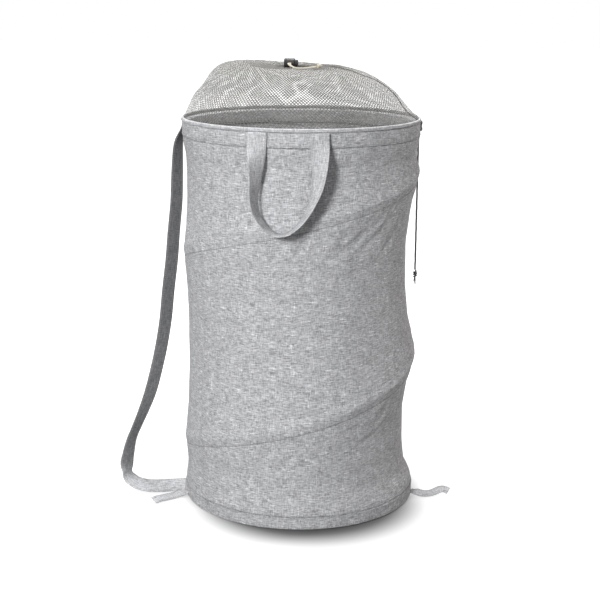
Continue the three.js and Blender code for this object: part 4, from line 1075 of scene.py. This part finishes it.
def make_mouth():
    """The folded, puckered hem of the gathered net, open at the front where the cords leave it."""
    cut = 2 * COLUMN_ANGLE
    turn = np.linspace(-pi / 2 + cut, 3 * pi / 2 - cut, 260)
    wobble = 0.5 * np.sin(9 * turn + 1) + 0.4 * np.sin(23 * turn)
    ring = mouth_ring(turn, MOUTH_HEIGHT + 0.15 * wobble) * MM
    length = arc_lengths(ring)
    pleat = 0.5 + 0.5 * np.sin(TURN * length / 0.0026 + 2.0 * np.sin(length / 0.011))
    ends = ease(np.minimum(length, length[-1] - length) / 0.004)
    radius = (1.95 + 0.45 * pleat + 0.25 * wobble) * MM * (0.75 + 0.25 * ends)
    dress(tube("net_mouth_hem", ring, radius, 14), NET_HEM, "rim", "net", "mesh_hem")


DRAWCORD_DIAMETER = 2.2
DRAWCORD_SPACING = 2.6
LOCK_RADIUS = 7
LOCK_Y = -51.1
LOCK_HEIGHT = MOUTH_HEIGHT + 8.9
TAIL_ROUTE = np.array(((0, 0, 0), (0, -5, 0), (0, -10, 0), (3, -15, -2.6), (10, -17, -5.6), (20, -15, -6.3),
                       (30, -11, -5.6), (40, -6, -4.2)), float)
DRAWCORD_TWIST = {"sides": 10, "twist": 190, "strands": 2, "relief": 0.0001}
DRAWCORD_RADIUS = 0.0010
TAIL_RADIUS = 0.00105
# Length, thickness, wraps and seed of each lump of a knot, its outside and its core
DRAWCORD_KNOT = ((0.0088, 0.0068, 3, 1), (0.0080, 0.0040, 2, 2))
CLOSURE_KNOT = ((0.0128, 0.0078, 3, 4), (0.0116, 0.0048, 2, 5))


def drawcord_points():
    """The drawcord's route in mm: out of the lock, round the mouth inside its hem and back to the lock."""
    ring = mouth_ring((np.arange(1, COLUMNS) + 3 * COLUMNS / 4) * COLUMN_ANGLE, MOUTH_HEIGHT)

    def turn_out(end, side):
        back = np.array((MOUTH[0] + side * DRAWCORD_SPACING / 2, LOCK_Y + LOCK_RADIUS, LOCK_HEIGHT))
        rise = lerp(end, back, np.array((0.5, 0.12, 0.5)))
        over = np.array((back[0], lerp(end[1], back[1], 0.55), back[2]))
        return [rise, over, back, back - (0, 2 * LOCK_RADIUS, 0)]

    return np.array(turn_out(ring[0], 1)[::-1] + list(ring) + turn_out(ring[-1], -1))


def tail_points(side):
    """A free end of the drawcord in metres, beside its partner."""
    ahead, behind = np.vstack([TAIL_ROUTE[1:], TAIL_ROUTE[-1:]]), np.vstack([TAIL_ROUTE[:1], TAIL_ROUTE[:-1]])
    along = unit((ahead - behind) * (1, 1, 0))
    beside = np.cross((0, 0, 1), along) * side * DRAWCORD_SPACING / 2
    start = np.array((MOUTH[0], LOCK_Y - LOCK_RADIUS - SEAM_GAP, LOCK_HEIGHT))
    return spline((TAIL_ROUTE + beside + start) * MM, 60)


def knot_mesh(name, centre, along, length, diameter, wraps, seed):
    """An overhand knot pulled tight: a short fat coil of cord round its own line, closed into a lump."""
    side = unit(np.cross(along, (0, 0, 1) if abs(along[2]) < 0.9 else (1, 0, 0)))
    up = np.cross(along, side)
    cord = 0.3 * diameter
    t = np.linspace(0, 1, 26 * wraps)[:, None]
    angle = TURN * wraps * t
    fullness = np.sin(pi * t)
    reach = (diameter - cord) / 2 * (0.72 + 0.28 * fullness) + 0.02 * diameter * np.sin(3 * angle + seed)
    path = centre + along * (t - 0.5) * (length - cord) + reach * (side * np.cos(angle) + up * np.sin(angle))
    return tube(name, path, cord / 2 * (0.85 + 0.15 * fullness[:, 0]), 9, start=along)


def box_middle(cad):
    low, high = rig.box(cad)
    return np.array((low + high) / 2)


def make_knot(names, cad, along, lumps, coating, slot):
    """The outside and the core of the knot that stands for a CAD knot."""
    pieces = [dress(knot_mesh(name, box_middle(cad), unit(along), *lump), coating, "rim", slot)
              for name, lump in zip(names, lumps)]
    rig.replaces(pieces[0], cad)
    return pieces


def make_drawcord():
    line = spline(drawcord_points() * MM, 420)
    cord = tube("drawcord_round_mouth", line, DRAWCORD_RADIUS, **DRAWCORD_TWIST)
    dress(cord, CREAM, "rim", "cream_cord", "drawcord")
    tails = []
    for side, name in ((1, "near"), (-1, "far")):
        path = tail_points(side)
        tail = tube(f"drawcord_end_{name}", path, TAIL_RADIUS, **DRAWCORD_TWIST)
        tails.append((dress(tail, CREAM, "rim", "cream_cord", f"drawcord_tail_{name}"), path))
    knot = make_knot(("drawcord_end_knot", "drawcord_knot_core"), "drawcord_knot",
                     TAIL_ROUTE[-1] - TAIL_ROUTE[-2], DRAWCORD_KNOT, CREAM, "cream_cord")
    for (tail, path), pieces in zip(tails, (knot, [])):
        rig.cord(tail, exit=path[0], length=arc_lengths(path)[-1], diameter=0.0022, far_end="knot",
                stiffness="limp", lay="loose", path=path.tolist(), with_pieces=pieces)


LOCK_START = (MOUTH[0] - 9.3, LOCK_Y, LOCK_HEIGHT)
LOCK_SLOT = 6.6
BARREL_SLOT = 5.4
BUTTON_SLOT = 7.9
SPRING_WIRE = 0.5
SPRING_TURNS = 2
SPRING_RADIUS = 2.75
SPRING_SPAN = (1.5 + SPRING_WIRE / 2, 5 - SPRING_WIRE / 2)
BARREL_PROFILE = (
    (0, 0), (5.9, 0), (7, 1), (7, 2), (6.65, 2.3), (6.65, 2.8), (7, 3.1), (7, 3.8), (6.65, 4.1),
    (6.65, 4.6), (7, 4.9), (7, 5.6), (6.9, 6.2), (6.75, 9.3), (6.9, 12.4), (7, 13.2), (7, 15.2), (6.3, 16),
    (5.3, 16), (5.3, 1.2), (0, 1.2))
BUTTON_PROFILE = (
    (0, 5.3), (5, 5.3), (5, 16.3), (4.75, 16.5), (4.75, 16.8), (5, 17), (5, 17.6), (4.75, 17.8),
    (4.75, 18.1), (5, 18.3), (5, 19.3), (4.5, 20.6), (3.2, 21), (2.4, 20.7), (0, 20.5))
TOGGLE_PROFILE = (
    (2, 0), (4.9, 0), (6, 1.8), (6, 2.5), (5.7, 2.8), (6, 3.1), (6, 4), (5.5, 5.4), (5, 8), (5.5, 10.6),
    (6, 12), (6, 12.9), (5.7, 13.2), (6, 13.5), (6, 14.2), (4.9, 16), (2, 16), (2, 0))
HARD_EDGE = radians(35)
CORNER_POINTS = 4
BOX_FACES = [(0, 1, 3, 2), (4, 6, 7, 5), (0, 4, 5, 1), (2, 3, 7, 6), (0, 2, 6, 4), (1, 5, 7, 3)]


def round_corners(profile, reach):
    """A profile with each inner corner cut back by up to reach and bridged by a small curve."""
    p = np.array(profile, float)
    made = [p[0]]
    for before, corner, after in zip(p, p[1:], p[2:]):
        ends = []
        for other in (before, after):
            gap = np.linalg.norm(other - corner)
            ends.append(lerp(corner, other, min(reach, 0.45 * gap) / gap))
        for t in np.linspace(0, 1, CORNER_POINTS):
            made.append(lerp(lerp(ends[0], corner, t), lerp(corner, ends[1], t), t))
    return np.array(made + [p[-1]])


def turned(name, profile, sides, start, along):
    """A profile of (radius, length along) in mm turned about a line through start."""
    first = unit(np.cross(along, (0, 1, 0)))
    second = np.cross(along, first)
    turn = circle(sides)[:, None]
    radial = np.cos(turn) * first + np.sin(turn) * second
    points = np.asarray(start) + radial[:, None] * profile[:, :1] + np.asarray(along) * profile[:, 1:]
    around = 0.03 * np.arange(sides + 1) / sides
    piece = grid_mesh(name, points * MM, True, False, around, arc_lengths(profile) * MM)
    with edited(piece.data) as work:
        bmesh.ops.remove_doubles(work, verts=work.verts, dist=1e-6)
        bmesh.ops.recalc_face_normals(work, faces=work.faces)
    return piece


def cut_slot(piece, start, end):
    """Cuts the cords' slot through a lock piece, between two lengths along it in mm."""
    half, reach = (DRAWCORD_DIAMETER + 0.6) / 2, 9
    corners = [(x, y, z) for x in (start, end) for y in (-reach, reach) for z in (-half, half)]
    cutter = new_piece("slot", (np.array(corners) + LOCK_START) * MM, BOX_FACES)
    cut = piece.modifiers.new("slot", "BOOLEAN")
    cut.operation, cut.solver, cut.object = "DIFFERENCE", "EXACT", cutter
    done = bpy.data.meshes.new_from_object(piece.evaluated_get(bpy.context.evaluated_depsgraph_get()))
    piece.modifiers.clear()
    piece.data = done
    bpy.data.objects.remove(cutter)


def shade_by_angle(piece):
    """Smooth faces with hard lines only where two faces meet at a sharp angle."""
    with edited(piece.data) as work:
        for edge in work.edges:
            edge.smooth = len(edge.link_faces) == 2 and edge.calc_face_angle(0) < HARD_EDGE


def moulded(name, profile, reach, sides, start, along, body, cad, slot=0):
    """A plastic piece turned from its profile, with a slot for the cords where it has a slot's length."""
    piece = turned(name, round_corners(profile, reach), sides, start, along)
    if slot:
        cut_slot(piece, LOCK_SLOT, LOCK_SLOT + slot)
    shade_by_angle(piece)
    dress(piece, PLASTIC, body, "black_plastic", cad)


def make_lock():
    lie = (LOCK_START, (1.0, 0, 0))
    moulded("cord_lock_body", BARREL_PROFILE, 0.5, 72, *lie, "cord_lock", "cord_lock_barrel", BARREL_SLOT)
    moulded("cord_lock_button_head", BUTTON_PROFILE, 0.4, 64, *lie, "cord_lock_button", "cord_lock_plunger",
            BUTTON_SLOT)
    start, end = SPRING_SPAN
    turn = np.linspace(0, TURN * SPRING_TURNS, 220)
    helix = polar(SPRING_RADIUS, turn, lerp(start, end, turn / turn[-1]))[:, [2, 0, 1]]
    helix = (helix + LOCK_START) * MM
    spring = tube("cord_lock_coil_spring", helix, SPRING_WIRE / 2 * MM, 8, start=(0, 1, 0))
    dress(spring, STEEL, "cord_lock", "spring_steel", "cord_lock_spring")
    anchor = np.array(LOCK_START) + (start - SPRING_WIRE / 2, 0, 0)
    keep = 1 - travel("cord_lock_press") / (end - start + SPRING_WIRE)
    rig.squash(spring, "cord_lock_press", axis=(1, 0, 0), anchor=(anchor * MM).tolist(), keep=keep)


# The front handle's inner edge, left leg first: across, height in mm, and the strip's turn away from the wall
HANDLE_STATIONS = (
    (-27.8, 601.7, 0), (-28.2, 584, 14), (-30.3, 561, 46), (-35.4, 537, 66), (-39.6, 519, 79),
    (-40.9, 501, 86), (-38.2, 486, 90), (-31.4, 474, 90), (-22.3, 464, 90), (-12.3, 458.5, 90),
    (-1.7, 457.5, 90), (8, 462, 88), (17.9, 473, 84), (27.4, 490, 78), (33.6, 508, 71), (37, 525.5, 61),
    (37.6, 544, 49), (35.6, 566, 28), (33.9, 585.6, 6), (33.7, 601.7, 0))
HANDLE_WIDTH = 28
HANDLE_THICKNESS = 1.9
TURN_WEIGHT = 0.2
# The strap's route as shares of the body: out, forwards and up, with its turn in half circles
STRAP_ROUTE_SHARES = (
    (0.049, 0.003, 0.93, 0.12), (0.066, 0.006, 0.852, 0.19), (0.075, 0.012, 0.774, 0.21),
    (0.1, 0.02, 0.695, 0.22), (0.121, 0.03, 0.617, 0.23), (0.152, 0.042, 0.537, 0.23),
    (0.178, 0.058, 0.456, 0.23), (0.213, 0.078, 0.388, 0.23), (0.25, 0.1, 0.333, 0.23),
    (0.307, 0.127, 0.264, 0.23), (0.361, 0.155, 0.217, 0.2), (0.417, 0.185, 0.175, 0.17),
    (0.463, 0.215, 0.139, 0.16), (0.491, 0.245, 0.098, 0.2), (0.5, 0.272, 0.072, 0.22))
STRAP_FLOOR_SHARES = ((0.485, 0.3, 0.047), (0.42, 0.325, 0.03), (0.32, 0.325, 0.021), (0.2, 0.28, 0.016))
STRAP_BASE_ANGLE = radians(191)
STRAP_BASE_HEIGHT = 8
STRAP_FLOOR_LEAN = radians(30)
STRAP_WIDTH = 25
STRAP_THICKNESS = 2
STRAP_CLOTH = 1.9
TIE_WIDTH = 15
TIE_CLOTH = 1.7
TIE_INSET = 0.002
TIE_LEAN = radians(24)
# Each tie's way over the floor in mm: out from its seam, aside and up
TIE_ROUTES = (
    ("left_tie", radians(200),
     ((0, 0, 7), (9, 2, 3.4), (22, 6, 1.4), (36, 12, 1.5), (50, 19, 2.6), (58, 24, 2.2))),
    ("right_tie", radians(-3),
     ((0, 0, 7), (10, -3, 3), (24, -5, 1.4), (36, -4, 4), (48, 0, 8.8), (55, 1, 8.8), (61, 0, 6.5))))


def handle_line():
    """Centre and lie of the front handle's strip in metres, from its left leg to its right."""
    line = spline(np.array(HANDLE_STATIONS) * (1, 1, TURN_WEIGHT), 170) * (1, 1, 1 / TURN_WEIGHT)
    x, height, turn = line.T
    turn = np.radians(np.clip(turn, 0, 90))[:, None]
    ahead = unit(np.gradient(line[:, :2], axis=0))
    radius = SEWN_RADIUS + HANDLE_THICKNESS / 2 + 2.2 * ease((RIM_CASING_TOP - height) / 150) + 0.4
    body = np.arctan2(-np.sqrt(radius ** 2 - x ** 2), x)
    outwards, around = polar(1, body, 0), polar(1, body + pi / 2, 0)
    aside = around * ahead[:, 1:] + np.array((0, 0, -1.0)) * ahead[:, :1]
    across = unit(aside * np.cos(turn) + outwards * np.sin(turn))
    return (polar(radius, body, height) + across * HANDLE_WIDTH / 2) * MM, across


def make_handles():
    centres, across = handle_line()
    for side, name in ((1, "front"), (-1, "rear")):
        turn = np.array((side, side, 1))
        piece = sewn_strip(f"{name}_carry_handle", f"{name}_handle_stitches", centres * turn, across * turn,
                           HANDLE_WIDTH, HANDLE_THICKNESS, HEATHER_LIGHT, f"{name}_handle", f"{name}_handle",
                           HANDLE_COLLAPSE, cross=14)
        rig.sheet(piece, flat=(HANDLE_WIDTH * MM, arc_lengths(centres)[-1]), held="hung", rests_on=["rim_hem"])


def strap_line():
    """Centre and lie of the shoulder strap in metres, from the rim seam to the base seam."""
    sewn = SEWN_RADIUS + STRAP_THICKNESS / 2
    level, climb = cos(STRAP_FLOOR_LEAN), sin(STRAP_FLOOR_LEAN)
    rows = [(-sewn, 0, RIM_CASING_TOP - drop, 0, 1, 0) for drop in (0, RIM_HEM / 2)]
    hanging = [(*place, sin(pi * turn), cos(pi * turn), 0) for *place, turn in STRAP_ROUTE_SHARES]
    for out, forwards, height, *lie in hanging + [(*place, 0, level, climb) for place in STRAP_FLOOR_SHARES]:
        rows.append((-BODY_RADIUS * (1 + out), -BODY_RADIUS * forwards, BODY_HEIGHT * height, *lie))
    side = polar(level, STRAP_BASE_ANGLE - pi / 2, climb)
    for out in (STRAP_WIDTH / 2, 0):
        rows.append((*polar(SEWN_RADIUS + out, STRAP_BASE_ANGLE, STRAP_BASE_HEIGHT), *side))
    line = spline(rows, 220)
    return line[:, :3] * MM, unit(line[:, 3:])


def make_strap():
    centres, across = strap_line()
    height = centres[:, 2]
    # Painted shade on the strap's seen back face: a little lighter lower down, and gone where the strap reaches the
    # floor and the face is lit
    shaded = (0.74 + 0.26 * ease((height - 0.12) / 0.35)) * ease((height - 0.017) / 0.034)
    strap = sewn_strip("shoulder_strap_cloth", "shoulder_strap_stitches", centres, -across, STRAP_WIDTH,
                       STRAP_CLOTH, HEATHER_STRAP_PAINTED_SHADE, "base", "shoulder_strap", STRAP_COLLAPSE, cross=14,
                       shaded=shaded)
    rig.sheet(strap, flat=(STRAP_WIDTH * MM, arc_lengths(centres)[-1]), held="hung",
             rests_on=["rim_hem", "base_hem"])


def make_ties():
    for name, angle, route in TIE_ROUTES:
        out, aside, height = spline(route, 60).T
        centres = polar(SEWN_RADIUS + out, angle, height) + polar(aside, angle + pi / 2, 0)
        centres = centres * MM
        level = unit(np.cross(tangents(centres), (0, 0, 1.0)))
        lean = TIE_LEAN * ease(out / 12)
        across = level * np.cos(lean)[:, None]
        across[:, 2] += np.sin(lean) * np.sign(level[:, 1])
        centres[:, 2] += TIE_WIDTH / 2 * MM * np.sin(lean)
        tie = sewn_strip(f"{name}_tape", f"{name}_stitches", centres, unit(across), TIE_WIDTH, TIE_CLOTH,
                         HEATHER_LIGHT, name, name, cross=10, inset=TIE_INSET)
        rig.sheet(tie, flat=(TIE_WIDTH * MM, arc_lengths(centres)[-1]), held="laid", rests_on=["base_hem"])


CLOSURE_ANGLE = radians(22.5)
CLOSURE_RADIUS = 194
CLOSURE_TOP = 580.3 - SEAM_GAP
CLOSURE_CORD_LENGTH = 225
CLOSURE_COLLAPSE = (CLOSURE_TOP, 0.18)
CLOSURE_TWIST = {"sides": 12, "twist": 120, "strands": 3}
CLOSURE_LOOP_RADIUS = 0.00145
CLOSURE_CORD_RADIUS = 0.00142
FRAYED_RADIUS = 0.0004
TOGGLE_TOP = 596.3
FRAYED_STRANDS = 7


def frayed_end(centre):
    """The loose strands under the closure cord's knot, as one piece."""
    parts = []
    down = np.linspace(0, 1, 12)[:, None]
    for k in range(FRAYED_STRANDS):
        reach = 0.0008 + (0.0006 + 0.0009 * (k % 3)) * down ** 1.5
        drop = 0.0045 + down * (0.007 + 0.0022 * ((k * 3) % 4))
        strand = centre + polar(1, TURN * k / FRAYED_STRANDS, 0) * reach - (0, 0, 1) * drop
        parts.append(tube("closure_cord_frayed_end", strand, FRAYED_RADIUS, 6, start=(1, 0, 0)))
    frayed, *others = parts
    with edited(frayed.data) as work:
        for part in others:
            work.from_mesh(part.data)
    for part in others:
        bpy.data.objects.remove(part)
    return frayed


def make_closure():
    seam = SEWN_RADIUS + BINDING_OVERHANG
    bend = CLOSURE_RADIUS - seam
    bend_height = BODY_HEIGHT - BINDING_HEIGHT / 2 - bend
    turn = np.linspace(0, pi / 2, 14)
    leg = np.linspace(bend_height - 2, CLOSURE_TOP + 0.3, 8)
    over = polar(seam + bend * np.sin(turn), CLOSURE_ANGLE, bend_height + bend * np.cos(turn))
    path = np.vstack([over, polar(CLOSURE_RADIUS, CLOSURE_ANGLE, leg)]) * MM
    loop = tube("closure_cord_top", path, CLOSURE_LOOP_RADIUS, relief=0.0001, **CLOSURE_TWIST)
    dress(loop, DARK_CORD, "rim", "dark_cord", "closure_loop")
    drop = np.linspace(0, CLOSURE_CORD_LENGTH, 120)
    path = polar(CLOSURE_RADIUS, CLOSURE_ANGLE, CLOSURE_TOP - drop) * MM
    cord = tube("closure_cord_hanging", path, CLOSURE_CORD_RADIUS, relief=0.00012, **CLOSURE_TWIST)
    dress(cord, DARK_CORD, "rim", "dark_cord", "closure_cord")
    knot, core = make_knot(("closure_cord_knot", "closure_cord_knot_core"), "closure_knot", (0, 0, 1.0),
                           CLOSURE_KNOT, DARK_CORD, "dark_cord")
    frayed = dress(frayed_end(box_middle("closure_knot")), DARK_CORD, "rim", "dark_cord")
    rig.cord(cord, exit=path[0], length=CLOSURE_CORD_LENGTH * MM, diameter=0.003, far_end="knot",
            stiffness="limp", lay="hanging", path=path.tolist(), with_pieces=[knot, core, frayed])
    COLLAPSING.extend((piece, *CLOSURE_COLLAPSE) for piece in (cord, knot, core, frayed))
    top = polar(CLOSURE_RADIUS, CLOSURE_ANGLE, TOGGLE_TOP)
    moulded("closure_toggle_body", TOGGLE_PROFILE, 0.5, 56, top, (0, 0, -1.0), "toggle", "closure_toggle")


def collapse_soft_pieces():
    """Everything soft between base and rim flattens as the rim comes down."""
    for piece, height, share in COLLAPSING:
        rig.squash(piece, "collapse", axis=(0, 0, 1), anchor=(0, 0, height * MM), keep=share)


def coat(coating, *names):
    """Gives CAD pieces that stay in the scene a material of this script."""
    for name in names:
        for place in frame["nodes"][name].material_slots:
            place.material = coating


def make_camera():
    camera = bpy.data.cameras.new("camera")
    camera.lens = CAMERA_LENS
    camera.sensor_width = 36
    bpy.context.scene.camera = add_object("camera", camera, CAMERA_AT, LOOK_AT, CAMERA_LEAN)


WORLD_LEVEL = 0.18
FLOOR_REACH = 14
FLOOR_HEIGHT = -0.0006
# Floor as the camera sees it, by distance: a painted shadow round the base, darker and glowing less near it, deepest a
# little to the front right
FLOOR_SEEN_PAINTED_SHADOW = (0.12, 0.156, 0.14, 0.3)
FLOOR_BOUNCE = (0.22, 0.22, 0.22, 1)
FLOOR_GLOW_PAINTED_SHADOW = (0.134, 0.202, 0.0, 0.84)
EDGE_GLOW_PAINTED_SHADOW = (0.178, 0.205, 0.5, 0.84)
FAR_GLOW = (0.33, 0.6, 0.0, 0.3)
PAINTED_SHADOW_MIDDLE = (0.021, -0.058, 0.0)
# Name, place, target, size, power and colour of each lamp
LAMPS = (("key", (-0.93, -3.15, 1.6), (0, 0, 0.3), 0.8, 106, (1, 1, 1)),
         ("top", (-0.3, 0.45, 3.0), (0, 0, 0.1), 1.0, 92, (1, 1, 1)),
         ("rim", (2.5, 1.8, 1.4), (0, 0, 0.4), 1.0, 42, (1.0, 0.94, 0.925)))


def make_stage():
    world = Shader(bpy.data.worlds.new("studio"))
    bpy.context.scene.world = world.owner
    background = world.tree.nodes["Background"].inputs
    strength = world.node("MapRange", world.background_share(), 0.0, 1.0, WORLD_LEVEL, 1.0)
    world.put(background["Strength"], strength)
    world.put(background["Color"], (1, 1, 1, 1))

    mesh = bpy.data.meshes.new("floor")
    corners = [(x * FLOOR_REACH, y * FLOOR_REACH, 0) for x, y in ((-1, -1), (1, -1), (1, 1), (-1, 1))]
    mesh.from_pydata(corners, [], [(0, 1, 2, 3)])
    floor = add_object("floor", mesh, (0, 0, FLOOR_HEIGHT))
    s = material("studio_floor")
    seen = s.background_share()
    from_base = s.node("VectorMath", s.place(), out=1, operation="LENGTH")
    from_painted_shadow = s.node("VectorMath", s.place(), PAINTED_SHADOW_MIDDLE, operation="SUBTRACT")
    from_painted_shadow = s.node("VectorMath", from_painted_shadow, out=1, operation="LENGTH")
    # Painted shadow: the seen floor is darker near the base and its glow is weaker there
    level = s.remap(from_painted_shadow, *FLOOR_SEEN_PAINTED_SHADOW)
    colour = s.mix(seen, FLOOR_BOUNCE, s.node("CombineColor", level, level, level))
    mesh.materials.append(s.done(colour, 1, None, specular=0))
    painted_shadow_glow = s.math("MINIMUM", s.remap(from_painted_shadow, *FLOOR_GLOW_PAINTED_SHADOW), s.remap(from_base, *EDGE_GLOW_PAINTED_SHADOW))
    glow = s.node("Emission", Strength=seen * (painted_shadow_glow + s.remap(from_base, *FAR_GLOW)))
    both = s.node("AddShader", Value(s, s.tree.nodes["Principled BSDF"].outputs[0]), glow)
    s.put(s.tree.nodes["Material Output"].inputs["Surface"], both)
    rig.stage(floor)
    for name, at, target, size, power, colour in LAMPS:
        lamp = bpy.data.lights.new(name, "AREA")
        lamp.shape, lamp.size, lamp.energy, lamp.color = "DISK", size, power, colour
        add_object(name, lamp, at, target)
    bpy.context.scene.view_settings.view_transform = "Standard"


make_camera()
make_stage()
make_wall()
make_spiral()
make_back_seam()
make_base_cloth()
make_hems()
make_binding()
make_hem_stitches()
make_net()
make_net_seam()
make_mouth()
make_drawcord()
make_lock()
make_handles()
make_strap()
make_ties()
make_closure()
coat(STEEL, "base_ring_wire", "rim_ring_wire")
coat(ZINC, "base_ferrule", "rim_ferrule")
collapse_soft_pieces()

visual_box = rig.bounds()
with open("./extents.json", "w") as out:
    json.dump({"cad": [list(map(float, c)) for c in cad_box], "visual": [list(map(float, c)) for c in visual_box]}, out)
